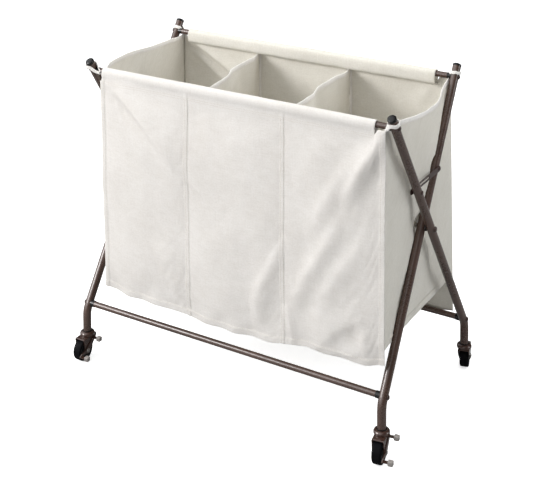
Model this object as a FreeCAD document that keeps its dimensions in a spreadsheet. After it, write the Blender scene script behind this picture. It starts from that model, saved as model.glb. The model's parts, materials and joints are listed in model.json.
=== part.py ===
import FreeCAD, Part
import math
import os
import Sketcher

# Laundry cart: a three-compartment cloth bag on a folding X-frame with four swivel casters.
# +X to the right along the width, -Y to the front, +Z up, origin on the floor under the middle.
# Frame A runs from the rear top to the front bottom, frame B from the front top to the rear
# bottom. Frame A's legs stand frame_offset to the left of the two pivot planes, frame B's legs
# the same distance to the right.

Vector = FreeCAD.Vector
Rotation = FreeCAD.Rotation
Placement = FreeCAD.Placement

doc = FreeCAD.newDocument("laundry_cart")
sheet = doc.addObject("Spreadsheet::Sheet", "Size")

# Depth of a point on a leg's straight line, from its height above or below the pivot, to 0.01 mm
ON_LEG = "=round(100 * ({}) * leg_top_y / (leg_top_z - pivot_z)) / 100"

CELLS = {
    # legs: tube with a gentle bend into a vertical foot
    "leg_radius": 9.5, "leg_bore": 8.3, "leg_half_span": 380, "frame_offset": 11,
    "foot_y": 194, "foot_z": 64, "leg_top_y": 194, "leg_top_z": 704, "pivot_z": 407.67,
    "bend_radius": 45,
    "screw_hole": 2.65, "pivot_hole": 3.05, "rivet_hole": 2.55,
    # holes along the leg, as height and depth on its straight line
    "top_bolt_z": 684, "top_bolt_y": ON_LEG.format("top_bolt_z - pivot_z"),
    "low_bolt_z": 125, "low_bolt_y": ON_LEG.format("pivot_z - low_bolt_z"),
    "strap_z": 512.67, "strap_y": ON_LEG.format("strap_z - pivot_z"),
    # cross tubes and the plugs in their ends
    "bar_radius": 6.5, "bar_bore": 5.3, "bar_half_length": 363.5,
    "collar_radius": 7.3, "plug_radius": 5.25, "plug_bore": 2.55, "plug_end": 44,
    "saddle_gap": 0.1,
    # fasteners
    "screw_radius": 2.5, "screw_head": 5.2, "screw_end": 34, "head_height": 3.2,
    "hex_depth": 1.8,
    "pivot_radius": 3.0, "pivot_head": 6.5, "spacer_radius": 7.5, "spacer_half": 1.45,
    "nut_flat": 10, "nut_height": 4.6,
    "rivet_radius": 2.5, "rivet_head": 4.6,
    # leg cap
    "cap_stub": 8.2, "cap_stub_depth": 12, "cap_radius": 9.9, "cap_height": 7,
    # stop strap
    "strap_half_width": 6, "strap_half_gauge": 0.8,
    "slot_near": 56, "slot_far": 137.48, "slot_half": 2.6, "strap_past_slot": 6.5,
    # caster
    "socket_radius": 8.25, "socket_depth": 32, "socket_flange": 10.8,
    "stem_radius": 4.0, "stem_bore": 4.05, "hood_radius": 17, "trail": 17,
    "wheel_radius": 25, "tyre_inner": 19.53, "tyre_half": 10,
    "hub_radius": 19.5, "hub_half": 9.5, "axle_radius": 3.0, "axle_bore": 3.05,
    "fork_half": 13, "fork_gap_half": 11.2, "fork_tip_radius": 8.5,
    "crown_radius": 15, "crown_z": 52.6, "crown_height": 3.0,
    "race_radius": 10.5, "race_z": 56.62, "race_gap": 0.08, "ball_radius": 2.0,
    "lever_gauge": 2.0,
    # bag
    "cloth": 1.5, "bag_front_y": 190, "bag_rear_y": 195, "rear_top_y": 190.3,
    "sleeve_radius": 8.5, "sleeve_bore": 7.0,
    "hem_z": 670.5, "side_low": 213, "side_high": 665, "floor_z": 210.5,
    "rear_low": 124, "rear_high": 685,
    "divider_left_high": 660, "divider_right_high": 669,
    "front_sleeve_left": 344, "front_sleeve_right": 351,
    "rear_sleeve_left": 360, "rear_sleeve_right": 321,
    "loop_inner": 9.6, "loop_outer": 10.8, "loop_width": 6, "loop_drop": 9,
}
for row, (alias, content) in enumerate(CELLS.items(), 1):
    sheet.set(f"A{row}", alias)
    sheet.set(f"B{row}", str(content))
    sheet.setAlias(f"B{row}", alias)
doc.recompute()


def num(alias):
    return float(getattr(sheet, alias))


# Lengths of cut that pass right through a small piece, and through the whole bag
THROUGH = 60
BAG_THROUGH = 900

# The legs' lean from the vertical, and the direction up along each frame's legs
LEAN = math.degrees(math.atan2(num("leg_top_y"), num("leg_top_z") - num("pivot_z")))
UP_A = Vector(0, math.sin(math.radians(LEAN)), math.cos(math.radians(LEAN)))
UP_B = Vector(0, -UP_A.y, UP_A.z)
NO_TURN = Rotation()
HALF_TURN = Rotation(Vector(0, 0, 1), 180)

# Where the legs stand across the width
A_RIGHT, A_LEFT = "leg_half_span - frame_offset", "0 - leg_half_span - frame_offset"
B_RIGHT, B_LEFT = "leg_half_span + frame_offset", "0 - leg_half_span + frame_offset"

# ---------------------------------------------------------------- sizes written as text
# A size is a number, or a text of sheet aliases and numbers: terms are joined by a spaced
# + or -, and factors by an unspaced *.


def sheet_expression(text):
    """The text as a FreeCAD expression, with every alias read from the sheet."""
    def qualify(factor):
        return "Size." + factor if factor[0].isalpha() else factor

    return " ".join("*".join(qualify(factor) for factor in token.split("*"))
                    for token in text.split())


def value_of(size):
    """The number that a size stands for."""
    if not isinstance(size, str):
        return float(size)
    total, sign = 0.0, 1.0
    for token in size.split():
        if token in ("+", "-"):
            sign = 1.0 if token == "+" else -1.0
        else:
            product = 1.0
            for factor in token.split("*"):
                product *= num(factor) if factor[0].isalpha() else float(factor)
            total += sign * product
    return total


def offset(start, factor, alias):
    """The size start + factor * alias, for a factor of either sign."""
    return f"{start} {'+' if factor >= 0 else '-'} {abs(factor):.9f}*{alias}"


def bind(obj, prop, size):
    """Ties a property to the sheet if its size is a text."""
    if isinstance(size, str):
        obj.setExpression(prop, sheet_expression(size))


def place(obj, base, turn=NO_TURN):
    obj.Placement = Placement(Vector(*[value_of(size) for size in base]), turn)
    for axis, size in zip("xyz", base):
        bind(obj, ".Placement.Base." + axis, size)
    return obj


# ---------------------------------------------------------------- sketches


def origin_feature(body, role):
    return [f for f in body.Origin.OriginFeatures if f.Role == role][0]


def new_body(label):
    body = doc.addObject("PartDesign::Body", label)
    body.Label = label
    return body


def sketch_on(body, name, role, height=0, turn=NO_TURN):
    """A sketch on an origin plane, moved by height along the plane's normal."""
    sketch = body.newObject("Sketcher::SketchObject", name)
    sketch.AttachmentSupport = [(origin_feature(body, role), "")]
    sketch.MapMode = "FlatFace"
    sketch.AttachmentOffset = Placement(Vector(0, 0, value_of(height)), turn)
    bind(sketch, ".AttachmentOffset.Base.z", height)
    return sketch


def constrain_size(sketch, size, kind, *where):
    """Adds a dimension to the sketch and ties it to the sheet."""
    index = sketch.addConstraint(Sketcher.Constraint(kind, *where, value_of(size)))
    bind(sketch, f"Constraints[{index}]", size)


def pin_point(sketch, geo, pos, x, y):
    """Fixes a sketch point at x, y. A zero puts it on the axis, since no distance can be zero."""
    for kind, size, axis in (("DistanceX", x, -2), ("DistanceY", y, -1)):
        if abs(value_of(size)) < 1e-9:
            sketch.addConstraint(Sketcher.Constraint("PointOnObject", geo, pos, axis))
        else:
            constrain_size(sketch, size, kind, -1, 1, geo, pos)


def add_circle(sketch, radius, x=0, y=0):
    centre = Vector(value_of(x), value_of(y), 0)
    circle = sketch.addGeometry(Part.Circle(centre, Vector(0, 0, 1), value_of(radius)), False)
    pin_point(sketch, circle, 3, x, y)
    constrain_size(sketch, radius, "Radius", circle)


def add_line(sketch, start, end):
    return sketch.addGeometry(Part.LineSegment(Vector(*start), Vector(*end)), False)


def add_arc(sketch, centre, radius, start_angle, end_angle):
    circle = Part.Circle(Vector(*centre), Vector(0, 0, 1), radius)
    return sketch.addGeometry(Part.ArcOfCircle(circle, start_angle, end_angle), False)


def add_polygon(sketch, points):
    count = len(points)
    corners = [(value_of(x), value_of(y), 0) for x, y in points]
    lines = [add_line(sketch, corners[i], corners[(i + 1) % count]) for i in range(count)]
    for i in range(count):
        sketch.addConstraint(
            Sketcher.Constraint("Coincident", lines[i], 2, lines[(i + 1) % count], 1))
    for line, point in zip(lines, points):
        pin_point(sketch, line, 1, *point)


def add_obround(sketch, radius, near, far):
    """A round-ended slot shape along the sketch's x axis; near and far are its arc centres."""
    r, near_x, far_x = value_of(radius), value_of(near), value_of(far)
    quarter = math.pi / 2
    near_arc = add_arc(sketch, (near_x, 0, 0), r, -quarter, quarter)
    top = add_line(sketch, (near_x, r, 0), (far_x, r, 0))
    far_arc = add_arc(sketch, (far_x, 0, 0), r, quarter, 3 * quarter)
    bottom = add_line(sketch, (far_x, -r, 0), (near_x, -r, 0))
    sides = (near_arc, top, far_arc, bottom)
    for side, following in zip(sides, sides[1:] + sides[:1]):
        sketch.addConstraint(Sketcher.Constraint("Tangent", side, 2, following, 1))
    pin_point(sketch, near_arc, 3, near, 0)
    pin_point(sketch, far_arc, 3, far, 0)
    constrain_size(sketch, radius, "Radius", near_arc)


def hexagon(radius, start_angle):
    angles = [math.radians(60 * k + start_angle) for k in range(6)]
    return [(radius * math.cos(a), radius * math.sin(a)) for a in angles]


def rectangle(x, y, half_width, half_height):
    return [(x - half_width, y - half_height), (x + half_width, y - half_height),
            (x + half_width, y + half_height), (x - half_width, y + half_height)]


# ---------------------------------------------------------------- features


def extrude(body, kind, sketch, name, length, symmetric, reverse):
    feature = body.newObject("PartDesign::" + kind, name)
    feature.Profile = sketch
    feature.Length = value_of(length)
    bind(feature, "Length", length)
    if symmetric:
        feature.SideType = "Symmetric"
    feature.Reversed = reverse


def pad(body, sketch, name, length, symmetric=False, reverse=False):
    extrude(body, "Pad", sketch, name, length, symmetric, reverse)


def volume_now(body):
    doc.recompute()
    return body.Shape.Volume


def require_cut(body, name, before):
    if not volume_now(body) < before - 1e-3:
        raise RuntimeError(f"{body.Label}.{name} cut nothing")


def pocket(body, sketch, name, length, symmetric=False, reverse=False):
    before = volume_now(body)
    extrude(body, "Pocket", sketch, name, length, symmetric, reverse)
    require_cut(body, name, before)


def revolve(body, kind, sketch, name, axis):
    feature = body.newObject("PartDesign::" + kind, name)
    feature.Profile = sketch
    feature.ReferenceAxis = (origin_feature(body, axis), [""])
    feature.Angle = 360


def turned(label, points, axis="Z"):
    """A body of revolution. For Z the points are (radius, z), for X they are (x, radius)."""
    body = new_body(label)
    sketch = sketch_on(body, label + "_half", "XZ_Plane" if axis == "Z" else "XY_Plane")
    add_polygon(sketch, points)
    revolve(body, "Revolution", sketch, label + "_turned", axis + "_Axis")
    return body


def round_edges(body, name, radius, wanted):
    """Fillets the edges of the tip that wanted(edge) accepts."""
    doc.recompute()
    tip = body.Tip
    names = [f"Edge{i}" for i, edge in enumerate(tip.Shape.Edges, 1) if wanted(edge)]
    if not names:
        raise RuntimeError(f"{body.Label}.{name} found no edge")
    fillet = body.newObject("PartDesign::Fillet", name)
    fillet.Base = (tip, names)
    fillet.Radius = radius


def loft(label, low_z, low, high_z, high):
    """A cloth wall lofted straight between a low and a high plan outline."""
    body = new_body(label)
    sketches = []
    for end, z, points in (("low", low_z, low), ("high", high_z, high)):
        sketch = sketch_on(body, f"{label}_{end}", "XY_Plane", z)
        add_polygon(sketch, points)
        sketches.append(sketch)
    doc.recompute()
    wall = body.newObject("PartDesign::AdditiveLoft", label + "_wall")
    wall.Profile = sketches[0]
    wall.Sections = [sketches[1]]
    wall.Ruled = True
    return body


# Every object in this list is written to its own file
PIECES = []


def compound(label, members):
    """One piece made of several bodies."""
    obj = doc.addObject("Part::Compound", label)
    obj.Label = label
    obj.Links = members
    PIECES.append(obj)


# ---------------------------------------------------------------- frame


def leg_path(body, label):
    """The leg's centre line in the YZ plane: a vertical foot, a bend and the leaning length."""
    path = sketch_on(body, label + "_path", "YZ_Plane")
    foot_y, radius = -num("foot_y"), num("bend_radius")
    half_bend = math.radians(LEAN) / 2
    corner_z = num("pivot_z") + foot_y / math.tan(math.radians(LEAN))
    tangent = radius * math.tan(half_bend)
    bend_low = (foot_y, corner_z - tangent, 0)
    bend_high = (foot_y + tangent * UP_A.y, corner_z + tangent * UP_A.z, 0)
    foot = add_line(path, (foot_y, num("foot_z"), 0), bend_low)
    bend = add_arc(path, (foot_y + radius, bend_low[1], 0), radius,
                   math.pi - 2 * half_bend, math.pi)
    slope = add_line(path, bend_high, (num("leg_top_y"), num("leg_top_z"), 0))
    path.addConstraint(Sketcher.Constraint("Tangent", foot, 2, bend, 2))
    path.addConstraint(Sketcher.Constraint("Tangent", bend, 1, slope, 1))
    path.addConstraint(Sketcher.Constraint("Vertical", foot))
    pin_point(path, foot, 1, "0 - foot_y", "foot_z")
    pin_point(path, slope, 2, "leg_top_y", "leg_top_z")
    constrain_size(path, "bend_radius", "Radius", bend)
    # the leaning length passes through the pivot
    pivot = path.addGeometry(Part.Point(Vector(0, num("pivot_z"), 0)), True)
    pin_point(path, pivot, 1, 0, "pivot_z")
    path.addConstraint(Sketcher.Constraint("PointOnObject", pivot, 1, slope))
    return path


def leg(label, x, turn):
    """A bent tube, drawn for frame A: foot at the front, top at the rear."""
    body = new_body(label)
    path = leg_path(body, label)
    ring = sketch_on(body, label + "_ring", "XY_Plane", "foot_z")
    add_circle(ring, "leg_radius", 0, "0 - foot_y")
    add_circle(ring, "leg_bore", 0, "0 - foot_y")
    doc.recompute()
    tube = body.newObject("PartDesign::AdditivePipe", label + "_tube")
    tube.Profile = ring
    tube.Spine = (path, [])
    doc.recompute()
    holes = sketch_on(body, label + "_holes", "YZ_Plane")
    add_circle(holes, "screw_hole", "top_bolt_y", "top_bolt_z")
    add_circle(holes, "pivot_hole", 0, "pivot_z")
    add_circle(holes, "rivet_hole", "strap_y", "strap_z")
    add_circle(holes, "screw_hole", "0 - low_bolt_y", "low_bolt_z")
    pocket(body, holes, label + "_drill", THROUGH, symmetric=True)
    PIECES.append(place(body, (x, 0, 0), turn))


leg("leg_a_right", A_RIGHT, NO_TURN)
leg("leg_a_left", A_LEFT, NO_TURN)
leg("leg_b_right", B_RIGHT, HALF_TURN)
leg("leg_b_left", B_LEFT, HALF_TURN)


def bar(label, x, y, z):
    """A straight cross tube along X."""
    body = new_body(label)
    sketch = sketch_on(body, label + "_ring", "YZ_Plane")
    add_circle(sketch, "bar_radius")
    add_circle(sketch, "bar_bore")
    pad(body, sketch, label + "_tube", "bar_half_length + bar_half_length", symmetric=True)
    PIECES.append(place(body, (x, y, z)))


bar("top_tube_rear", "0 - frame_offset", "top_bolt_y", "top_bolt_z")
bar("bottom_tube_front", "0 - frame_offset", "0 - low_bolt_y", "low_bolt_z")
bar("top_tube_front", "frame_offset", "0 - top_bolt_y", "top_bolt_z")
bar("bottom_tube_rear", "frame_offset", "low_bolt_y", "low_bolt_z")


def tube_end_plug(label):
    """Collar hollowed to sit on the leg, with a plug that fills the cross tube's end.
    Axis along X, leg axis at x 0."""
    tube_end = "0 - leg_half_span + bar_half_length"
    body = turned(label, [
        ("0 - plug_end", "plug_bore"), ("0 - plug_end", "plug_radius"),
        (tube_end, "plug_radius"), (tube_end, "collar_radius"),
        (-3, "collar_radius"), (-3, "plug_bore")], "X")
    # the leg's own round, drawn in the plane square to the leg and cut straight along it
    saddle = sketch_on(body, label + "_leg", "XZ_Plane",
                       turn=Rotation(Vector(1, 0, 0), 90 - LEAN))
    add_circle(saddle, "leg_radius + saddle_gap")
    pocket(body, saddle, label + "_saddle", THROUGH, symmetric=True)
    return body


def frame_screw(label):
    """Domed screw with a hexagon socket: head on the leg's side away from the cross tube,
    shank through the leg into the plug. Axis along X, leg axis at x 0."""
    body = turned(label, [
        ("0 - screw_end", 0), ("0 - screw_end", "screw_radius - 0.6"),
        ("0 - screw_end + 0.8", "screw_radius"), ("leg_radius + 0.02", "screw_radius"),
        ("leg_radius + 0.02", "screw_head"), ("leg_radius + 0.9", "screw_head - 0.1"),
        ("leg_radius + 2.0", "screw_head - 1.0"), ("leg_radius + 2.8", "screw_head - 2.4"),
        ("leg_radius + head_height", "screw_head - 3.6"), ("leg_radius + head_height", 0)], "X")
    sketch = sketch_on(body, label + "_hex", "YZ_Plane", "leg_radius + head_height")
    # turned by a hair, so that no corner falls on the sketch's x axis
    add_polygon(sketch, hexagon(radius=1.5, start_angle=0.001))
    pocket(body, sketch, label + "_socket", "hex_depth")
    return body


# Seats of the plugs and screws. Columns: frame, up along its legs, x of the first leg and the
# turn that carries frame A's right end to it, x of the other leg, top depth, low depth
FRAME_ENDS = (
    ("a", UP_A, A_RIGHT, NO_TURN, A_LEFT, "top_bolt_y", "0 - low_bolt_y"),
    ("b", UP_B, B_LEFT, HALF_TURN, B_RIGHT, "0 - top_bolt_y", "low_bolt_y"),
)
for frame, up, first_x, turn, other_x, top_y, low_y in FRAME_ENDS:
    ends = ((first_x, turn), (other_x, Rotation(up, 180).multiply(turn)))
    seats = [((x, y, z), end_turn)
             for y, z in ((top_y, "top_bolt_z"), (low_y, "low_bolt_z"))
             for x, end_turn in ends]
    for group, name, make in (("tube_end_plugs", "plug", tube_end_plug),
                              ("frame_screws", "screw", frame_screw)):
        compound(f"{group}_{frame}", [place(make(f"{name}_{frame}{i}"), base, end_turn)
                                      for i, (base, end_turn) in enumerate(seats, 1)])


def leg_cap(label):
    """Push-in cap for the leg's top end. Axis along Z, leg end at z 0."""
    return turned(label, [
        (0, "0 - cap_stub_depth"), ("cap_stub - 0.8", "0 - cap_stub_depth"),
        ("cap_stub", "0 - cap_stub_depth + 1.2"), ("cap_stub", 0.02),
        ("cap_radius - 0.3", 0.02), ("cap_radius", 0.4), ("cap_radius", 3.4),
        ("cap_radius - 0.5", 4.5), ("cap_radius - 1.5", 5.4), ("cap_radius - 3.2", 6.2),
        ("cap_radius - 5.6", 6.8), ("cap_radius - 8", "cap_height"), (0, "cap_height")])


# Per frame: up along its legs, depth of their tops, x of its legs
LEG_TOPS = {
    "a": (UP_A, "leg_top_y", (A_RIGHT, A_LEFT)),
    "b": (UP_B, "0 - leg_top_y", (B_RIGHT, B_LEFT)),
}


def on_leg_tops(make, name, frame):
    """One piece at each of the frame's two leg tops, its Z axis along the leg."""
    up, y, leg_xs = LEG_TOPS[frame]
    return [place(make(f"{name}_{frame}{i}"), (x, y, "leg_top_z"), Rotation(Vector(0, 0, 1), up))
            for i, x in enumerate(leg_xs, 1)]


for frame in "ab":
    compound("leg_caps_" + frame, on_leg_tops(leg_cap, "cap", frame))

# ---------------------------------------------------------------- pivot
# Drawn for the right side: axis along X, the plane midway between the two legs at x 0.


def pivot_bolt(label):
    """Domed bolt through both legs, head outboard."""
    tail = "0 - frame_offset - leg_radius - nut_height"
    head = "frame_offset + leg_radius"
    return turned(label, [
        (tail + " - 1.2", 0), (tail + " - 1.2", "pivot_radius - 0.5"),
        (tail + " - 0.6", "pivot_radius"), (head + " + 0.1", "pivot_radius"),
        (head + " + 0.1", "pivot_head"), (head + " + 1.2", "pivot_head - 0.2"),
        (head + " + 2.6", "pivot_head - 1.6"), (head + " + 3.4", "pivot_head - 3.6"),
        (head + " + 3.6", 0)], "X")


def pivot_nut(label):
    """Hexagon nut on the bolt's inboard end."""
    body = new_body(label)
    sketch = sketch_on(body, label + "_hex", "YZ_Plane",
                       "0 - frame_offset - leg_radius - nut_height - 0.05")
    corner_radius = num("nut_flat") / 2 / math.cos(math.radians(30))
    add_polygon(sketch, hexagon(corner_radius, start_angle=30))
    add_circle(sketch, "pivot_radius + 0.02")
    pad(body, sketch, label + "_hexagon", "nut_height")
    return body


def pivot_spacer(label):
    """Washer between the two legs."""
    body = new_body(label)
    sketch = sketch_on(body, label + "_ring", "YZ_Plane")
    add_circle(sketch, "spacer_radius")
    add_circle(sketch, "pivot_radius + 0.05")
    pad(body, sketch, label + "_washer", "spacer_half + spacer_half", symmetric=True)
    return body


PIVOTS = (("right", "leg_half_span", NO_TURN), ("left", "0 - leg_half_span", HALF_TURN))
for name, make in (("bolt", pivot_bolt), ("nut", pivot_nut), ("spacer", pivot_spacer)):
    compound(f"pivot_{name}s", [place(make(f"pivot_{name}_{end}"), (x, 0, "pivot_z"), turn)
                                for end, x, turn in PIVOTS])

# ---------------------------------------------------------------- stop straps


def stop_strap(label, x):
    """Flat bar that runs along -Y from the rivet on leg A, with a slot for leg B's rivet."""
    body = new_body(label)
    outline = sketch_on(body, label + "_outline", "YZ_Plane")
    add_obround(outline, "strap_half_width", 0, "0 - slot_far - strap_past_slot")
    add_circle(outline, "rivet_hole")
    pad(body, outline, label + "_bar", "strap_half_gauge + strap_half_gauge", symmetric=True)
    slot = sketch_on(body, label + "_slot", "YZ_Plane")
    add_obround(slot, "slot_half", "0 - slot_near", "0 - slot_far")
    pocket(body, slot, label + "_cut", THROUGH, symmetric=True)
    PIECES.append(place(body, (x, "strap_y", "strap_z")))


stop_strap("stop_strap_right", "leg_half_span")
stop_strap("stop_strap_left", "0 - leg_half_span")


def strap_rivet(label):
    """Rivet through one leg and the strap, drawn for leg A: leg axis at x 0, strap at +X."""
    leg_face = "0 - leg_radius"
    strap_face = "frame_offset + strap_half_gauge"
    return turned(label, [
        (leg_face + " - 2.0", 0), (leg_face + " - 2.0", "rivet_head - 2.4"),
        (leg_face + " - 1.2", "rivet_head - 0.6"), (leg_face + " - 0.05", "rivet_head"),
        (leg_face + " - 0.05", "rivet_radius"), (strap_face + " + 0.1", "rivet_radius"),
        (strap_face + " + 0.1", "rivet_head"), (strap_face + " + 1.4", "rivet_head - 0.5"),
        (strap_face + " + 2.3", "rivet_head - 2.2"), (strap_face + " + 2.5", 0)], "X")


for frame, right_x, left_x, y, turn in (("a", A_RIGHT, A_LEFT, "strap_y", NO_TURN),
                                        ("b", B_RIGHT, B_LEFT, "0 - strap_y", HALF_TURN)):
    compound("strap_rivets_" + frame, [
        place(strap_rivet(f"rivet_{frame}_{end}"), (x, y, "strap_z"), turn)
        for end, x in (("right", right_x), ("left", left_x))])

# ---------------------------------------------------------------- caster swivels
# Drawn with the stem's axis on Z and the floor at z 0.


def socket(label):
    """Flanged bush in the foot of the leg."""
    return turned(label, [
        ("stem_radius + 0.02", "foot_z - 1.9"), ("socket_flange", "foot_z - 1.9"),
        ("socket_flange", "foot_z - 0.02"), ("socket_radius", "foot_z - 0.02"),
        ("socket_radius", "foot_z + socket_depth - 1"),
        ("socket_radius - 1", "foot_z + socket_depth"),
        ("stem_radius + 0.02", "foot_z + socket_depth")])


def stem(label):
    """Headed pin up through the fork, hood and socket."""
    return turned(label, [
        (0, 48.7), (5.4, 48.7), (6.0, 49.3), (6.0, 50.9), ("stem_radius", 50.9),
        ("stem_radius", 89), ("stem_radius - 1", 91), (0, 91)])


def hood(label):
    """Domed cover over the swivel race."""
    return turned(label, [
        ("stem_radius + 0.02", 58.7), ("crown_radius + 0.6", 58.7),
        ("crown_radius + 0.6", 54.2), ("hood_radius", 54.2), ("hood_radius", 57.0),
        ("hood_radius - 0.4", 58.5), ("hood_radius - 1.4", 59.9), ("hood_radius - 3.0", 61.0),
        ("hood_radius - 4.8", 61.7), ("hood_radius - 6.2", 62.0),
        ("stem_radius + 0.02", 62.0)])


def race_balls(label, x, y):
    """Eight balls in a ring between the fork's crown and the hood."""
    balls = []
    for k in range(8):
        ball = doc.addObject("Part::Sphere", f"{label}_{k + 1}")
        bind(ball, "Radius", "ball_radius")
        angle = math.radians(45 * k)
        balls.append(place(ball, (offset(x, math.cos(angle), "race_radius"),
                                  offset(y, math.sin(angle), "race_radius"), "race_z")))
    return balls


# Columns: name, x and y of the stem, swivel angle in degrees
CASTERS = {
    "front": (("front_right", A_RIGHT, "0 - foot_y", 9.0),
              ("front_left", A_LEFT, "0 - foot_y", 1.0)),
    "rear": (("rear_right", B_RIGHT, "foot_y", 196.0),
             ("rear_left", B_LEFT, "foot_y", 158.0)),
}
for end, feet in CASTERS.items():
    for name, make in (("socket", socket), ("stem", stem), ("hood", hood)):
        compound(f"caster_{name}s_{end}", [place(make(f"{name}_{foot}"), (x, y, 0))
                                           for foot, x, y, angle in feet])
    compound("swivel_balls_" + end, [ball for foot, x, y, angle in feet
                                     for ball in race_balls("ball_" + foot, x, y)])

# ---------------------------------------------------------------- caster forks and wheels
# At swivel angle 0 the axle is parallel to X and lies the trail behind the stem, on its -Y side.
# The fork is drawn from the stem's axis on the floor, the rest from the middle of the axle.

# Angles, in degrees, of the fork's lower outline round the axle
FORK_TIP_ANGLES = (-25, -50, -75, -100, -125, -150, -172)
FORK_BEND = 2.0
# The stem's bore is cut down from this height to this depth
FORK_BORE_START, FORK_BORE_DEPTH = 70, 40


def is_fork_bend(edge):
    """True for the top edges of the two side faces."""
    box = edge.BoundBox
    return box.XLength < 0.01 and box.ZMin > 49 and box.YLength > 1


def fork(label):
    """Crown disc under the hood, top plate over the wheel and two side plates to the axle."""
    body = new_body(label)
    side = sketch_on(body, label + "_side", "YZ_Plane")
    tip = [(offset("0 - trail", math.cos(math.radians(angle)), "fork_tip_radius"),
            offset("wheel_radius", math.sin(math.radians(angle)), "fork_tip_radius"))
           for angle in FORK_TIP_ANGLES]
    add_polygon(side, [(16.5, 53.6), (16.5, 47), (12.5, 43)] + tip
                + [(-27.5, 45), (-29.0, 50.5), (-29.0, 52.6), (-27.0, 53.6)])
    pad(body, side, label + "_block", "fork_half + fork_half", symmetric=True)
    round_edges(body, label + "_bends", FORK_BEND, is_fork_bend)

    disc = sketch_on(body, label + "_disc", "XY_Plane", "crown_z")
    add_circle(disc, "crown_radius")
    pad(body, disc, label + "_crown", "crown_height")

    channel = sketch_on(body, label + "_channel", "YZ_Plane")
    add_polygon(channel, [(40, 5), (40, 51.4), (-60, 51.9), (-60, 5)])
    pocket(body, channel, label + "_wheelway", "fork_gap_half + fork_gap_half", symmetric=True)

    bore = sketch_on(body, label + "_bore", "XY_Plane", FORK_BORE_START)
    add_circle(bore, "stem_bore")
    pocket(body, bore, label + "_stem_bore", FORK_BORE_DEPTH)

    pin = sketch_on(body, label + "_pin", "YZ_Plane")
    add_circle(pin, "axle_bore", "0 - trail", "wheel_radius")
    pocket(body, pin, label + "_axle_bore", THROUGH, symmetric=True)

    race = sketch_on(body, label + "_race", "XZ_Plane")
    add_circle(race, "ball_radius + race_gap", "race_radius", "race_z")
    before = volume_now(body)
    revolve(body, "Groove", race, label + "_race_groove", "Z_Axis")
    require_cut(body, label + "_race_groove", before)
    return body


def wheel_hub(label):
    return turned(label, [
        ("0 - hub_half", "axle_bore"), ("0 - hub_half", 7), (-5, 8), (-5, 15.5),
        ("0 - hub_half + 0.6", 16.5), ("0 - hub_half + 0.6", "hub_radius"),
        ("hub_half - 0.6", "hub_radius"), ("hub_half - 0.6", 16.5),
        (5, 15.5), (5, 8), ("hub_half", 7), ("hub_half", "axle_bore")], "X")


def tyre(label):
    return turned(label, [
        ("0 - tyre_half + 0.6", "tyre_inner"), ("0 - tyre_half", "tyre_inner + 1.2"),
        ("0 - tyre_half", "wheel_radius - 2.6"), ("0 - tyre_half + 0.7", "wheel_radius - 1.2"),
        ("0 - tyre_half + 2.0", "wheel_radius - 0.35"), ("0 - tyre_half + 4.0", "wheel_radius"),
        ("tyre_half - 4.0", "wheel_radius"), ("tyre_half - 2.0", "wheel_radius - 0.35"),
        ("tyre_half - 0.7", "wheel_radius - 1.2"), ("tyre_half", "wheel_radius - 2.6"),
        ("tyre_half", "tyre_inner + 1.2"), ("tyre_half - 0.6", "tyre_inner")], "X")


def axle(label, reach):
    """Pin with a riveted head outside each fork plate; the +X head starts at reach."""
    return turned(label, [
        ("0 - fork_half - 2.2", 0), ("0 - fork_half - 2.2", 2.6), ("0 - fork_half - 1.4", 4.4),
        ("0 - fork_half - 0.05", 5.0), ("0 - fork_half - 0.05", "axle_radius"),
        (reach, "axle_radius"), (reach, 5.0), (reach + " + 1.3", 4.4),
        (reach + " + 2.1", 2.6), (reach + " + 2.1", 0)], "X")


# Brake: centres (y, z) of the rocker's two shelves, from the stem's axis on the floor
SHELVES = {"up": (4.0, 47.0), "low": (-41.0, 20.5)}
LEVER_INNER_FACE = "fork_half + 0.2"
SHELF_HALF_WIDTH, SHELF_HALF_GAUGE, SHELF_LENGTH = 3.8, 1.0, 21.0
# Push pad: inner face in x, section, length outward, and the slot it grips the shelf with
PAD_START, PAD_LENGTH = 25.2, 11.0
PAD_HALF_WIDTH, PAD_HALF_HEIGHT, PAD_ROUNDING = 5.2, 5.0, 2.0
PAD_SLOT_GAP, PAD_SLOT_DEPTH = 0.05, 9.3


def shelf_centre(which):
    """The shelf's centre (y, z), measured from the axle."""
    y, z = SHELVES[which]
    return y + num("trail"), z - num("wheel_radius")


def brake_lever(label):
    """Rocker plate outside the fork that turns on the axle, with a shelf at each end.
    +X is outward from the fork plate."""
    body = new_body(label)
    plate = sketch_on(body, label + "_plate", "YZ_Plane", LEVER_INNER_FACE)
    (up_y, up_z), (low_y, low_z) = shelf_centre("up"), shelf_centre("low")
    add_polygon(plate, [
        (up_y - 6, up_z + 1), (up_y - 6, up_z - 3), (-6.5, 4.5), (low_y + 1, low_z + 5.5),
        (low_y - 5.5, low_z + 1), (low_y - 5.5, low_z - 1), (low_y + 5.5, low_z - 1),
        (-8, -3), (-3, -7.2), (3, -6.8), (7, -2), (up_y + 5.5, up_z - 3), (up_y + 5.5, up_z + 1)])
    pad(body, plate, label + "_rocker", "lever_gauge")
    for which in SHELVES:
        shelf = sketch_on(body, f"{label}_shelf_{which}", "YZ_Plane", LEVER_INNER_FACE)
        add_polygon(shelf, rectangle(*shelf_centre(which), SHELF_HALF_WIDTH, SHELF_HALF_GAUGE))
        pad(body, shelf, f"{label}_tab_{which}", SHELF_LENGTH)
    eye = sketch_on(body, label + "_eye", "YZ_Plane")
    add_circle(eye, "axle_bore")
    pocket(body, eye, label + "_eye_cut", THROUGH, symmetric=True)
    return body


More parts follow.
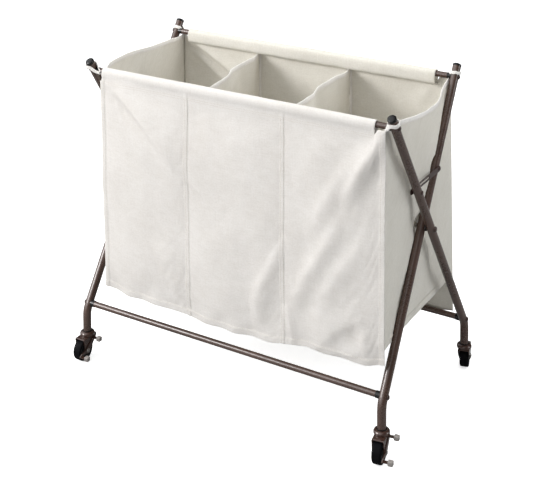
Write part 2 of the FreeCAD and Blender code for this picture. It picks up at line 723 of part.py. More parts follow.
def brake_pad(label, which):
    """Push pad slipped over one shelf of the rocker."""
    body = new_body(label)
    centre = shelf_centre(which)
    section = sketch_on(body, label + "_section", "YZ_Plane", PAD_START)
    add_polygon(section, rectangle(*centre, PAD_HALF_WIDTH, PAD_HALF_HEIGHT))
    pad(body, section, label + "_block", PAD_LENGTH)
    round_edges(body, label + "_soft", PAD_ROUNDING, lambda edge: edge.Length > 5)
    slot = sketch_on(body, label + "_slot", "YZ_Plane", PAD_START)
    add_polygon(slot, rectangle(*centre, SHELF_HALF_WIDTH + PAD_SLOT_GAP,
                                SHELF_HALF_GAUGE + PAD_SLOT_GAP))
    pocket(body, slot, label + "_pocket", PAD_SLOT_DEPTH, reverse=True)
    return body


for end, feet in CASTERS.items():
    # only the front casters have brakes, and their axles reach out through the levers
    braked = end == "front"
    reach = "fork_half + lever_gauge + 0.4" if braked else "fork_half + 0.05"
    for foot, x, y, angle in feet:
        turn = Rotation(Vector(0, 0, 1), angle)
        trailing = turn.multVec(Vector(0, -1, 0))
        hub_at = (offset(x, trailing.x, "trail"), offset(y, trailing.y, "trail"), "wheel_radius")
        PIECES.append(place(fork("fork_" + foot), (x, y, 0), turn))
        PIECES.append(place(wheel_hub("wheel_hub_" + foot), hub_at, turn))
        PIECES.append(place(tyre("tyre_" + foot), hub_at, turn))
        PIECES.append(place(axle("axle_" + foot, reach), hub_at, turn))
        if braked:
            PIECES.append(place(brake_lever("brake_lever_" + foot), hub_at, turn))
            compound("brake_pads_" + foot, [
                place(brake_pad(f"brake_pad_{which}_{foot}", which), hub_at, turn)
                for which in SHELVES])

# ---------------------------------------------------------------- bag

# Outline (x, z) of the front panel
FRONT_PANEL = [
    (-344, "hem_z"), (-341, 429), (-335, 183), (-215, 176), (-100, 173), (20, 172),
    (145, 177), (250, 180), (330, 178), (371, 190), (373, 429), (376, "hem_z")]

# Outer face (x, y) of each side wall at its low and high edge, from front to rear
RIGHT_LOW = [(371, -187), (355, -145), (352, -60), (350, 0), (351, 60), (357, 120), (371, 188)]
RIGHT_HIGH = [(375, -187), (366, -120), (361, -60), (355, 0), (352, 60), (350, 120), (348, 183)]
LEFT_LOW = [
    (-336, -187), (-343, -100), (-349, -40), (-350, 0), (-351, 60), (-353, 130), (-365, 188)]
LEFT_HIGH = [
    (-345, -187), (-349, -120), (-352, -60), (-355, 0), (-361, 60), (-366, 120), (-371, 183)]

DIVIDER_FRONT_Y, DIVIDER_REAR_Y = -187, 186
REAR_LOW_LEFT, REAR_LOW_RIGHT = -352, 361
FLOOR_GAP = 0.5    # from the floor's edge to the side walls' outer faces


def front_panel(label):
    """A flat panel, one cloth thickness deep behind its front face."""
    body = new_body(label)
    sketch = sketch_on(body, label + "_outline", "XZ_Plane")
    add_polygon(sketch, FRONT_PANEL)
    pad(body, sketch, label + "_sheet", "cloth", reverse=True)
    return place(body, (0, "0 - bag_front_y", 0))


def beside(x, sign):
    """The size one cloth thickness to the right (+) or left (-) of x."""
    start = str(x) if x >= 0 else f"0 - {-x}"
    return f"{start} {sign} cloth"


def wall_plan(outer):
    """Closed plan outline of a side wall: the outer points, then the inner ones back."""
    return outer + [(beside(x, "-" if x > 0 else "+"), y) for x, y in reversed(outer)]


def divider(label, front_x, rear_x, top):
    """An upright sheet that runs aslant from the front to the rear."""
    body = new_body(label)
    sketch = sketch_on(body, label + "_plan", "XY_Plane", "side_low")
    add_polygon(sketch, [
        (front_x, DIVIDER_FRONT_Y), (beside(front_x, "+"), DIVIDER_FRONT_Y),
        (beside(rear_x, "+"), DIVIDER_REAR_Y), (rear_x, DIVIDER_REAR_Y)])
    pad(body, sketch, label + "_sheet", top + " - side_low")
    return body


def bag_floor(label):
    body = new_body(label)
    sketch = sketch_on(body, "floor_plan", "XY_Plane", "floor_z")
    add_polygon(sketch, [(x - FLOOR_GAP, y) for x, y in RIGHT_LOW]
                + [(x + FLOOR_GAP, y) for x, y in reversed(LEFT_LOW)])
    pad(body, sketch, "floor_sheet", "cloth")
    return body


def pad_along_tube(body, sketch, name, end):
    pad(body, sketch, name, f"{end}_sleeve_left + {end}_sleeve_right")


def add_sleeve(body, end, y):
    """A solid round along the top tube at the given end of the cart."""
    sketch = sketch_on(body, end + "_sleeve_ring", "YZ_Plane", f"0 - {end}_sleeve_left")
    add_circle(sketch, "sleeve_radius", y, "top_bolt_z")
    pad_along_tube(body, sketch, end + "_sleeve", end)


def bore_sleeve(body, end, y):
    """Hollows the sleeve, with anything sewn into it, for the tube."""
    sketch = sketch_on(body, end + "_sleeve_hole", "YZ_Plane")
    add_circle(sketch, "sleeve_bore", y, "top_bolt_z")
    pocket(body, sketch, end + "_sleeve_bore", BAG_THROUGH, symmetric=True)


def rear_panel(label):
    """Leans back to hang behind the lower rear tube; its top is sewn into the sleeve."""
    low_front, high_front = "bag_rear_y - cloth", "rear_top_y - cloth"
    high_left, high_right = "0 - rear_sleeve_left", "rear_sleeve_right"
    body = loft(label, "rear_low", [
        (REAR_LOW_LEFT, low_front), (REAR_LOW_RIGHT, low_front),
        (REAR_LOW_RIGHT, "bag_rear_y"), (REAR_LOW_LEFT, "bag_rear_y")], "rear_high", [
        (high_left, high_front), (high_right, high_front),
        (high_right, "rear_top_y"), (high_left, "rear_top_y")])
    add_sleeve(body, "rear", "top_bolt_y")
    bore_sleeve(body, "rear", "top_bolt_y")
    return body


def front_sleeve(label):
    """Sleeve on the top front tube, with a tail down to the front panel's hem."""
    body = new_body(label)
    add_sleeve(body, "front", "0 - top_bolt_y")
    tail = sketch_on(body, "front_sleeve_tail", "YZ_Plane", "0 - front_sleeve_left")
    add_polygon(tail, [
        ("0 - bag_front_y", "hem_z + 0.5"), ("0 - bag_front_y + cloth", "hem_z + 0.5"),
        ("0 - bag_front_y + cloth", "top_bolt_z"), ("0 - bag_front_y", "top_bolt_z")])
    pad_along_tube(body, tail, "front_tail", "front")
    bore_sleeve(body, "front", "0 - top_bolt_y")
    return body


def corner_loop(label):
    """A tape loop round a leg: axis along Z, the leg's top end at z 0."""
    body = new_body(label)
    sketch = sketch_on(body, label + "_ring", "XY_Plane", "0 - loop_width - loop_drop")
    add_circle(sketch, "loop_outer")
    add_circle(sketch, "loop_inner")
    pad(body, sketch, label + "_tape", "loop_width")
    return body


PIECES.append(front_panel("bag_front_panel"))
for label, low, high in (("bag_side_right", RIGHT_LOW, RIGHT_HIGH),
                         ("bag_side_left", LEFT_LOW, LEFT_HIGH)):
    PIECES.append(loft(label, "side_low", wall_plan(low), "side_high", wall_plan(high)))
PIECES.append(divider("bag_divider_left", -101, -150, "divider_left_high"))
PIECES.append(divider("bag_divider_right", 144, 99, "divider_right_high"))
PIECES.append(bag_floor("bag_floor"))
PIECES.append(rear_panel("bag_rear_panel"))
PIECES.append(front_sleeve("bag_front_sleeve"))
for frame, end in (("a", "rear"), ("b", "front")):
    compound("corner_loops_" + end, on_leg_tops(corner_loop, "loop", frame))

# ---------------------------------------------------------------- check and write

doc.recompute()
for obj in doc.Objects:
    bad = [state for state in obj.State if state in ("Invalid", "Error")]
    if bad:
        raise RuntimeError(f"{obj.Name} ({obj.Label}) is {bad}")
labels = [piece.Label for piece in PIECES]
if len(set(labels)) != len(labels):
    raise RuntimeError("two pieces share a label")
for piece in PIECES:
    if piece.Shape.isNull() or not piece.Shape.isValid() or not piece.Shape.Solids:
        raise RuntimeError(piece.Label + " has no valid solid")
os.makedirs("parts", exist_ok=True)
for piece in PIECES:
    piece.Shape.exportStep("parts/" + piece.Label + ".step")
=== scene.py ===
import json
import math

import bpy
import numpy as np
from mathutils import Matrix, Vector


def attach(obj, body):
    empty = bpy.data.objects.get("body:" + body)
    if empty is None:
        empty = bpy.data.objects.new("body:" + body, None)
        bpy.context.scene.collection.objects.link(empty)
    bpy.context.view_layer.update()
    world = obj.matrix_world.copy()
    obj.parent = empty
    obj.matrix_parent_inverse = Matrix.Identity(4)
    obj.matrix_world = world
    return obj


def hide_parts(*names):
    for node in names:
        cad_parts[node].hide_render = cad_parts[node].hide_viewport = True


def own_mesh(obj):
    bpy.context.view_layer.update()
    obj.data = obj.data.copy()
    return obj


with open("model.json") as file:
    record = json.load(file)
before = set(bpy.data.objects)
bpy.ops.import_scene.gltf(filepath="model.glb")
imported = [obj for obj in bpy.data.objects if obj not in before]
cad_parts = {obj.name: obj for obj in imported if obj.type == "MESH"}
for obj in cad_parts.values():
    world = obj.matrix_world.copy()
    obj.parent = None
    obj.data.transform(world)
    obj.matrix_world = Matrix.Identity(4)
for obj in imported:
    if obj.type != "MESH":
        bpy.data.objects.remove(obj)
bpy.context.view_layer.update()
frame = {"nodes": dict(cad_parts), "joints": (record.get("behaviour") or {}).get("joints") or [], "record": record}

SCENE = bpy.context.scene
THICK = 0.0011
# the bag is drawn with the floor DATUM lower than it is, and its sewn top edges SET_DOWN higher
DATUM, SET_DOWN, PIVOT = 0.011, 0.006, 0.41867

# ------------------------------------------------------------------ small maths


def smooth(t):
    t = np.clip(t, 0.0, 1.0)
    return t * t * (3 - 2 * t)


def hash2(ix, iy, seed):
    v = np.sin(ix * 127.1 + iy * 311.7 + seed * 74.7) * 43758.5453
    return v - np.floor(v)


def noise(x, y, size, seed=0):
    """Smooth value noise in -1..1, repeatable, with features of the given size."""
    x, y = np.asarray(x, float) / size, np.asarray(y, float) / size
    ix, iy = np.floor(x), np.floor(y)
    fx, fy = smooth(x - ix), smooth(y - iy)
    a, b = hash2(ix, iy, seed), hash2(ix + 1, iy, seed)
    c, d = hash2(ix, iy + 1, seed), hash2(ix + 1, iy + 1, seed)
    return ((a * (1 - fx) + b * fx) * (1 - fy) + (c * (1 - fx) + d * fx) * fy) * 2 - 1


def through(points, s):
    """Catmull-Rom curve through the points, each row a point, at shares s of its length."""
    p = np.asarray(points, float)
    seg = np.r_[0, np.cumsum(np.linalg.norm(np.diff(p, axis=0), axis=1))]
    seg /= seg[-1]
    s = np.atleast_1d(np.asarray(s, float))
    k = np.clip(np.searchsorted(seg, s, side="right") - 1, 0, len(p) - 2)
    t = ((s - seg[k]) / np.maximum(seg[k + 1] - seg[k], 1e-12))[:, None]
    p0, p1, p2, p3 = p[np.maximum(k - 1, 0)], p[k], p[k + 1], p[np.minimum(k + 2, len(p) - 1)]
    return 0.5 * (2 * p1 + (p2 - p0) * t + (2 * p0 - 5 * p1 + 4 * p2 - p3) * t ** 2 + (3 * p1 - p0 - 3 * p2 + p3) * t ** 3)


def crease(x, z, path, dark, light, amps, shift=0.0):
    """Height of a fold that runs along a polyline: steep on its right-hand side, gentle on its left."""
    path = np.asarray(path, float)
    best = np.full(np.shape(x), 1e9)
    side, along = np.zeros(np.shape(x)), np.zeros(np.shape(x))
    lengths = np.linalg.norm(np.diff(path, axis=0), axis=1)
    done, total = 0.0, lengths.sum()
    for a, b, length in zip(path[:-1], path[1:], lengths):
        dx, dz = (b - a) / length
        rx, rz = x - a[0], z - a[1]
        s = np.clip(rx * dx + rz * dz, 0, length)
        ex, ez = rx - s * dx, rz - s * dz
        d = np.hypot(ex, ez)
        sg = rx * dz - rz * dx
        take = d < best
        best = np.where(take, d, best)
        side = np.where(take, sg, side)
        along = np.where(take, (done + s) / total, along)
        done += length
    d = best * np.sign(side) + shift
    width = np.where(d > 0, dark, light)
    amp = np.interp(along, np.linspace(0, 1, len(amps)), amps)
    return amp * np.exp(-(d / width) ** 2)


# ------------------------------------------------------------------ mesh building


def make_object(name, verts, faces, uv=None, smooth_faces=True):
    mesh = bpy.data.meshes.new(name)
    mesh.from_pydata([tuple(v) for v in verts], [], [tuple(int(i) for i in f) for f in faces])
    if uv is not None:
        layer = mesh.uv_layers.new(name="cloth")
        idx = np.zeros(len(mesh.loops), np.int32)
        mesh.loops.foreach_get("vertex_index", idx)
        layer.data.foreach_set("uv", np.asarray(uv, np.float32)[idx].ravel())
    if smooth_faces:
        mesh.polygons.foreach_set("use_smooth", np.ones(len(mesh.polygons), bool))
    mesh.update()
    obj = bpy.data.objects.new(name, mesh)
    SCENE.collection.objects.link(obj)
    return obj


def grid_faces(mask, flip=False):
    """Quads of a grid of cells where mask is true, in vertex numbers of the full grid."""
    rows, cols = mask.shape
    n = cols + 1
    out = []
    for i, j in zip(*np.nonzero(mask)):
        q = [i * n + j, i * n + j + 1, (i + 1) * n + j + 1, (i + 1) * n + j]
        out.append(q[::-1] if flip else q)
    return out


def compact(verts, faces, uv=None):
    used = sorted({i for f in faces for i in f})
    remap = {v: k for k, v in enumerate(used)}
    return verts[used], [[remap[i] for i in f] for f in faces], None if uv is None else uv[used], used


def lay(P):
    """Running lengths of a grid along its columns and rows, for cloth coordinates in metres."""
    du = np.linalg.norm(np.diff(P, axis=1), axis=2)
    dv = np.linalg.norm(np.diff(P, axis=0), axis=2)
    u = np.c_[np.zeros(len(P)), np.cumsum(du, axis=1)]
    v = np.r_[np.zeros((1, P.shape[1])), np.cumsum(dv, axis=0)]
    return np.stack([u, v], axis=2)


def normals(P):
    a = np.gradient(P, axis=1)
    b = np.gradient(P, axis=0)
    n = np.cross(a, b)
    return n / np.maximum(np.linalg.norm(n, axis=2, keepdims=True), 1e-12)


def sample(A, i, j):
    i = np.clip(np.asarray(i, float), 0, A.shape[0] - 1.0001)
    j = np.clip(np.asarray(j, float), 0, A.shape[1] - 1.0001)
    i0, j0 = i.astype(int), j.astype(int)
    fi, fj = (i - i0)[:, None], (j - j0)[:, None]
    return (A[i0, j0] * (1 - fi) * (1 - fj) + A[i0 + 1, j0] * fi * (1 - fj) + A[i0, j0 + 1] * (1 - fi) * fj + A[i0 + 1, j0 + 1] * fi * fj)


def solidify(obj, thickness=THICK, offset=-1.0):
    m = obj.modifiers.new("cloth_gauge", "SOLIDIFY")
    m.thickness = thickness
    m.offset = offset
    m.use_even_offset = False
    return obj


def sweep(name, path, section, frames, closed=False, caps=True, uv_scale=1.0):
    """Sweeps a closed section (n, 2) along path points; frames gives (side, up) vectors at each point."""
    path, section = np.asarray(path, float), np.asarray(section, float)
    n, m = len(path), len(section)
    verts, uv = np.zeros((n * m, 3)), np.zeros((n * m, 2))
    run = np.r_[0, np.cumsum(np.linalg.norm(np.diff(path, axis=0), axis=1))]
    around = np.r_[0, np.cumsum(np.linalg.norm(np.diff(section, axis=0), axis=1))]
    for k in range(n):
        side, up = frames[0][k], frames[1][k]
        verts[k * m:(k + 1) * m] = path[k] + section[:, :1] * side + section[:, 1:] * up
        uv[k * m:(k + 1) * m, 0] = run[k]
        uv[k * m:(k + 1) * m, 1] = around
    faces = []
    for k in range(n if closed else n - 1):
        a, b = k * m, ((k + 1) % n) * m
        for s in range(m):
            t = (s + 1) % m
            faces.append([a + s, a + t, b + t, b + s])
    if caps and not closed:
        faces.append(list(range(m))[::-1])
        faces.append([(n - 1) * m + s for s in range(m)])
    return verts, faces, uv


def join_parts(name, parts):
    verts, faces, uvs, off = [], [], [], 0
    for v, f, u in parts:
        verts.append(v)
        uvs.append(u)
        faces += [[i + off for i in q] for q in f]
        off += len(v)
    obj = make_object(name, np.vstack(verts), faces, np.vstack(uvs))
    return obj


def stitches(rows, length=0.0026, radius=0.00036, pitch=0.0038):
    """Thread stitches along sampled lines: rows of (points, normals)."""
    parts = []
    for pts, nrm in rows:
        run = np.r_[0, np.cumsum(np.linalg.norm(np.diff(pts, axis=0), axis=1))]
        count = int(run[-1] / pitch)
        if count < 1:
            continue
        mids = (np.arange(count) + 0.5) * pitch
        centre = np.stack([np.interp(mids, run, pts[:, k]) for k in range(3)], axis=1)
        ahead = np.stack([np.interp(mids + 1e-4, run, pts[:, k]) for k in range(3)], axis=1) - centre
        ahead /= np.maximum(np.linalg.norm(ahead, axis=1, keepdims=True), 1e-12)
        up = np.stack([np.interp(mids, run, nrm[:, k]) for k in range(3)], axis=1)
        up /= np.maximum(np.linalg.norm(up, axis=1, keepdims=True), 1e-12)
        side = np.cross(ahead, up)
        ts = np.array([-1.0, -0.6, 0.0, 0.6, 1.0])
        rad = np.array([0.25, 0.85, 1.0, 0.85, 0.25]) * radius
        ang = np.arange(6) / 6 * 2 * math.pi
        n_st = len(centre)
        v = np.zeros((n_st, 5, 6, 3))
        for a, (t, r) in enumerate(zip(ts, rad)):
            dip = -0.00025 * t * t
            base = centre + ahead * (t * length / 2) + up * (0.00012 + dip)
            for b, w in enumerate(ang):
                v[:, a, b] = base + side * (math.cos(w) * r * 1.25) + up * (math.sin(w) * r)
        idx = np.arange(n_st * 30).reshape(n_st, 5, 6)
        f = []
        for a in range(4):
            for b in range(6):
                c = (b + 1) % 6
                f.append(np.stack([idx[:, a, b], idx[:, a, c], idx[:, a + 1, c], idx[:, a + 1, b]], axis=1))
        caps = [idx[:, 0, ::-1], idx[:, 4, :]]
        faces = [list(q) for blk in f for q in blk] + [list(q) for blk in caps for q in blk]
        uv = np.zeros((n_st * 30, 2))
        uv[:, 0] = np.tile(np.repeat(ts, 6), n_st) * length / 2
        uv[:, 1] = np.tile(np.tile(ang, 5), n_st) * radius
        parts.append((v.reshape(-1, 3), faces, uv))
    return parts


# ------------------------------------------------------------------ materials


class Nodes:
    def __init__(self, name):
        self.mat = bpy.data.materials.new(name)
        self.mat.use_nodes = True
        self.tree = self.mat.node_tree
        self.tree.nodes.clear()
        self.out = self.tree.nodes.new("ShaderNodeOutputMaterial")
        self.bsdf = self.tree.nodes.new("ShaderNodeBsdfPrincipled")
        self.link(self.bsdf.outputs[0], self.out.inputs[0])
        self.coords = self.tree.nodes.new("ShaderNodeTexCoord")

    def link(self, a, b):
        self.tree.links.new(a, b)

    def put(self, value, socket):
        if isinstance(value, (int, float)):
            socket.default_value = value
        elif isinstance(value, (tuple, list)):
            socket.default_value = tuple(value) + ((1.0,) if len(value) == 3 and socket.type == "RGBA" else ())
        else:
            self.link(value, socket)

    def math(self, op, a, b=0.0, c=0.0, clamp=False):
        n = self.tree.nodes.new("ShaderNodeMath")
        n.operation = op
        n.use_clamp = clamp
        for k, v in enumerate((a, b, c)):
            self.put(v, n.inputs[k])
        return n.outputs[0]

    def mapping(self, source, scale, rotation=(0, 0, 0)):
        n = self.tree.nodes.new("ShaderNodeMapping")
        self.link(source, n.inputs["Vector"])
        n.inputs["Scale"].default_value = scale
        n.inputs["Rotation"].default_value = rotation
        return n.outputs[0]

    def noise(self, vector, scale, detail=4.0, rough=0.55, distortion=0.0):
        n = self.tree.nodes.new("ShaderNodeTexNoise")
        self.link(vector, n.inputs["Vector"])
        n.inputs["Scale"].default_value = scale
        n.inputs["Detail"].default_value = detail
        n.inputs["Roughness"].default_value = rough
        n.inputs["Distortion"].default_value = distortion
        return n.outputs["Fac"]

    def ramp(self, fac, stops):
        n = self.tree.nodes.new("ShaderNodeValToRGB")
        self.link(fac, n.inputs["Fac"])
        e = n.color_ramp.elements
        while len(e) < len(stops):
            e.new(0.5)
        for k, (p, col) in enumerate(stops):
            e[k].position = p
            e[k].color = tuple(col) + (1.0,) if len(col) == 3 else col
        return n.outputs["Color"]

    def mix(self, fac, a, b, blend="MIX"):
        n = self.tree.nodes.new("ShaderNodeMix")
        n.data_type = "RGBA"
        n.blend_type = blend
        self.put(fac, n.inputs[0])
        self.put(a, n.inputs[6])
        self.put(b, n.inputs[7])
        return n.outputs[2]

    def map_range(self, v, a, b, c, d):
        n = self.tree.nodes.new("ShaderNodeMapRange")
        self.put(v, n.inputs[0])
        for k, x in enumerate((a, b, c, d)):
            n.inputs[k + 1].default_value = x
        return n.outputs[0]

    def bump(self, height, strength, distance):
        n = self.tree.nodes.new("ShaderNodeBump")
        self.link(height, n.inputs["Height"])
        n.inputs["Strength"].default_value = strength
        n.inputs["Distance"].default_value = distance
        self.link(n.outputs[0], self.bsdf.inputs["Normal"])

    def set(self, **kw):
        names = {"color": "Base Color", "rough": "Roughness", "metal": "Metallic", "coat": "Coat Weight", "coat_rough": "Coat Roughness",
                 "sheen": "Sheen Weight", "sheen_rough": "Sheen Roughness", "spec": "Specular IOR Level", "emit": "Emission Color", "emit_strength": "Emission Strength"}
        for k, v in kw.items():
            self.put(v, self.bsdf.inputs[names[k]])
        return self.mat


def woven(name, light, dark, thread, twill=False, bump=0.55, sheen=0.18, through_light=0.0):
    """Plain or twill weave in cloth coordinates (metres), with slubs, uneven dye and soft soiling."""
    n = Nodes(name)
    uv = n.coords.outputs["UV"]
    sep = n.tree.nodes.new("ShaderNodeSeparateXYZ")
    wob = n.noise(n.mapping(uv, (1, 1, 1)), 220.0, 2.0, 0.5)
    n.link(uv, sep.inputs[0])
    su = n.math("SINE", n.math("ADD", n.math("MULTIPLY", sep.outputs[0], math.pi / thread), n.math("MULTIPLY", wob, 2.2)))
    sv = n.math("SINE", n.math("ADD", n.math("MULTIPLY", sep.outputs[1], math.pi / thread), n.math("MULTIPLY", wob, -1.9)))
    if twill:
        diag = n.math("SINE", n.math("MULTIPLY", n.math("ADD", sep.outputs[0], sep.outputs[1]), math.pi / thread * 0.7))
        weave = n.math("MULTIPLY_ADD", diag, 0.35, n.math("MULTIPLY_ADD", n.math("MULTIPLY", su, sv), 0.3, 0.5))
    else:
        weave = n.math("MULTIPLY_ADD", n.math("MULTIPLY", su, sv), 0.5, 0.5)
    slub_u = n.noise(n.mapping(uv, (26, 640, 1)), 1.0, 3.0, 0.6)
    slub_v = n.noise(n.mapping(uv, (640, 26, 1)), 1.0, 3.0, 0.6)
    slub = n.math("MULTIPLY_ADD", n.math("ADD", slub_u, slub_v), 0.5, 0.0)
    fuzz = n.noise(uv, 900.0, 2.0, 0.7)
    broad = n.noise(uv, 9.0, 3.0, 0.5)
    patch = n.noise(n.mapping(uv, (1, 1.7, 1)), 38.0, 3.0, 0.55)
    tone = n.math("ADD", n.math("MULTIPLY", slub, 0.55), n.math("ADD", n.math("MULTIPLY", broad, 0.30), n.math("MULTIPLY", patch, 0.25)))
    mottle = n.noise(n.mapping(uv, (1, 1.25, 1)), 210.0, 2.0, 0.65)
    tone = n.math("ADD", tone, n.math("ADD", n.math("MULTIPLY", weave, 0.06), n.math("MULTIPLY", mottle, 0.42)))
    base = n.mix(n.map_range(tone, 0.60, 0.96, 0.0, 1.0), dark, light)
    fleck = n.map_range(n.noise(n.mapping(uv, (300, 900, 1)), 1.0, 1.0, 0.5), 0.74, 0.80, 0.0, 0.5)
    base = n.mix(fleck, base, tuple(c * 0.72 for c in dark))
    n.set(color=base, rough=n.map_range(slub, 0.3, 0.7, 0.93, 0.80), sheen=sheen, sheen_rough=0.45, spec=0.25)
    height = n.math("ADD", n.math("MULTIPLY", weave, 0.55), n.math("ADD", n.math("MULTIPLY", slub, 1.3), n.math("ADD", n.math("MULTIPLY", fuzz, 0.35), n.math("MULTIPLY", mottle, 1.1))))
    n.bump(height, bump, 0.0006)
    if through_light:
        glow = n.tree.nodes.new("ShaderNodeBsdfTranslucent")
        n.link(n.mix(0.5, base, (0.98, 0.93, 0.84)), glow.inputs["Color"])
        both = n.tree.nodes.new("ShaderNodeMixShader")
        both.inputs[0].default_value = through_light
        n.link(n.bsdf.outputs[0], both.inputs[1])
        n.link(glow.outputs[0], both.inputs[2])
        n.link(both.outputs[0], n.out.inputs[0])
    return n.mat


def thread_material(name, color):
    n = Nodes(name)
    uv = n.coords.outputs["UV"]
    sep = n.tree.nodes.new("ShaderNodeSeparateXYZ")
    n.link(uv, sep.inputs[0])
    twist = n.math("SINE", n.math("MULTIPLY", n.math("ADD", sep.outputs[0], n.math("MULTIPLY", sep.outputs[1], 1.3)), 9000.0))
    n.set(color=n.mix(n.map_range(twist, -1, 1, 0, 1), tuple(c * 0.82 for c in color), color), rough=0.6, sheen=0.2)
    n.bump(twist, 0.3, 0.0001)
    return n.mat


def coated_metal(name, color, rough=0.36, metal=0.45, coat=0.25, chips=0.72):
    """Powder coat: fine orange peel, slight colour drift, dust and small bright scuffs."""
    n = Nodes(name)
    o = n.coords.outputs["Object"]
    drift = n.noise(o, 14.0, 3.0, 0.5)
    peel = n.noise(o, 1400.0, 2.0, 0.5)
    grain = n.noise(o, 420.0, 3.0, 0.6)
    scuff = n.map_range(n.noise(n.mapping(o, (90, 60, 26)), 1.0, 5.0, 0.7), chips, chips + 0.07, 0.0, 0.75)
    base = n.mix(n.map_range(drift, 0.3, 0.7, 0.0, 1.0), tuple(c * 0.86 for c in color), tuple(min(1, c * 1.16) for c in color))
    base = n.mix(n.map_range(grain, 0.55, 0.8, 0.0, 0.35), base, tuple(min(1, c * 1.9) for c in color))
    base = n.mix(scuff, base, tuple(min(1, c * 2.8 + 0.02) for c in color))
    n.set(color=base, metal=metal, rough=n.map_range(n.math("ADD", n.math("MULTIPLY", grain, 0.5), n.math("MULTIPLY", drift, 0.5)), 0.3, 0.7, rough - 0.07, rough + 0.1),
          coat=coat, coat_rough=0.22)
    n.bump(n.math("ADD", n.math("MULTIPLY", peel, 0.7), n.math("MULTIPLY", grain, 0.5)), 0.22, 0.00025)
    return n.mat


def moulding(name, color, rough, coat=0.0, peel=0.12, mark=0.5, spec=0.5):
    """Moulded plastic: a fine skin, faint flow marks and handling marks that dull the gloss."""
    n = Nodes(name)
    o = n.coords.outputs["Object"]
    skin = n.noise(o, 1800.0, 2.0, 0.6)
    flow = n.noise(n.mapping(o, (40, 40, 160)), 1.0, 3.0, 0.5)
    handled = n.noise(o, 130.0, 5.0, 0.65)
    base = n.mix(n.map_range(flow, 0.3, 0.7, 0, 1), tuple(c * 0.86 for c in color), tuple(min(1, c * 1.18) for c in color))
    base = n.mix(n.map_range(handled, 0.62, 0.75, 0, mark), base, tuple(min(1, c * 1.5 + 0.012) for c in color))
    n.set(color=base, rough=n.map_range(handled, 0.3, 0.75, rough, min(1, rough + 0.16)), coat=coat, coat_rough=0.08, spec=spec)
    n.bump(n.math("ADD", n.math("MULTIPLY", skin, 0.6), n.math("MULTIPLY", flow, 0.4)), peel, 0.0002)
    return n.mat


def rubber(name):
    n = Nodes(name)
    o = n.coords.outputs["Object"]
    dust = n.noise(o, 60.0, 6.0, 0.7)
    grit = n.noise(o, 900.0, 3.0, 0.7)
    base = n.mix(n.map_range(dust, 0.5, 0.78, 0.0, 0.55), (0.002, 0.002, 0.003), (0.011, 0.0105, 0.010))
    n.set(color=base, rough=n.map_range(dust, 0.3, 0.7, 0.45, 0.8), sheen=0.0, spec=0.07)
    n.bump(n.math("ADD", n.math("MULTIPLY", grit, 0.6), n.math("MULTIPLY", dust, 0.5)), 0.3, 0.0004)
    return n.mat


def plated(name, color):
    n = Nodes(name)
    o = n.coords.outputs["Object"]
    brushed = n.noise(n.mapping(o, (200, 200, 2600)), 1.0, 3.0, 0.6)
    tarnish = n.noise(o, 70.0, 4.0, 0.6)
    base = n.mix(n.map_range(tarnish, 0.45, 0.75, 0, 1), color, tuple(c * 0.6 for c in color))
    n.set(color=base, metal=1.0, rough=n.map_range(n.math("ADD", n.math("MULTIPLY", brushed, 0.4), n.math("MULTIPLY", tarnish, 0.6)), 0.3, 0.7, 0.2, 0.42))
    n.bump(brushed, 0.15, 0.0001)
    return n.mat


CANVAS = woven("canvas", (0.935, 0.912, 0.885), (0.795, 0.762, 0.722), 0.00085, bump=0.75, through_light=0.22)
# the walls', back's, floor's and dividers' canvas: the front panel's cloth with a darker, warmer base colour, painted
# shade and warm bounce light standing in for the shade inside the bag
CANVAS_SHADED_INSIDE = woven("canvas_painted_inside_shade", (0.922, 0.900, 0.836), (0.774, 0.745, 0.672), 0.00085, bump=0.75, through_light=0.22)
CANVAS_EDGE = woven("canvas_edge", (0.93, 0.905, 0.87), (0.81, 0.775, 0.73), 0.00085, bump=0.5)
TAPE = woven("cotton_tape", (0.93, 0.91, 0.88), (0.83, 0.80, 0.76), 0.0007, twill=True, bump=0.7)
# seam thread: its base is darker and warmer than the canvas, partly the thread's own tone and partly painted shade
# along the stitched seam lines
THREAD = thread_material("seam_thread", (0.80, 0.74, 0.66))
FINISHES = {
    "frame_tube": coated_metal("bronze_powder_coat", (0.070, 0.040, 0.030), rough=0.27, metal=0.05, coat=0.32),
    "fastener": coated_metal("bronze_fastener", (0.042, 0.021, 0.017), rough=0.30, metal=0.10, coat=0.1, chips=0.74),
    "caster_metal": coated_metal("caster_lacquer", (0.052, 0.025, 0.018), rough=0.22, metal=0.20, coat=0.50, chips=0.68),
    "black_moulding": moulding("gloss_black_moulding", (0.006, 0.0055, 0.0055), 0.16, coat=0.12, mark=0.15, spec=0.28),
    "spacer": moulding("black_nylon", (0.022, 0.022, 0.022), 0.42),
    "wheel_hub": moulding("hub_nylon", (0.016, 0.016, 0.018), 0.36),
    "push_pad": moulding("grey_push_pad", (0.25, 0.23, 0.215), 0.42, peel=0.2, mark=0.25),
    "tyre": rubber("tyre_rubber"),
    "zinc": plated("zinc_plate", (0.42, 0.40, 0.38)),
    "canvas": CANVAS,
    "tape": TAPE,
}
for row in frame["record"]["subparts"]:
    node = frame["nodes"].get(row["node"])
    if node is None:
        continue
    node.data.materials.clear()
    node.data.materials.append(FINISHES[row["material_slot"]])


def dress(obj, material, body):
    obj.data.materials.clear()
    obj.data.materials.append(material)
    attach(obj, body)
    return obj


# ------------------------------------------------------------------ the bag's front panel and its sleeve

SEAM_1, SEAM_2 = -0.108, 0.1365
SEAM_Z = 0.6835
SLEEVE_RIGHT = 0.351
LEFT_TOP, RIGHT_TOP = -0.344, 0.377
SEAM_HALF = 0.0045


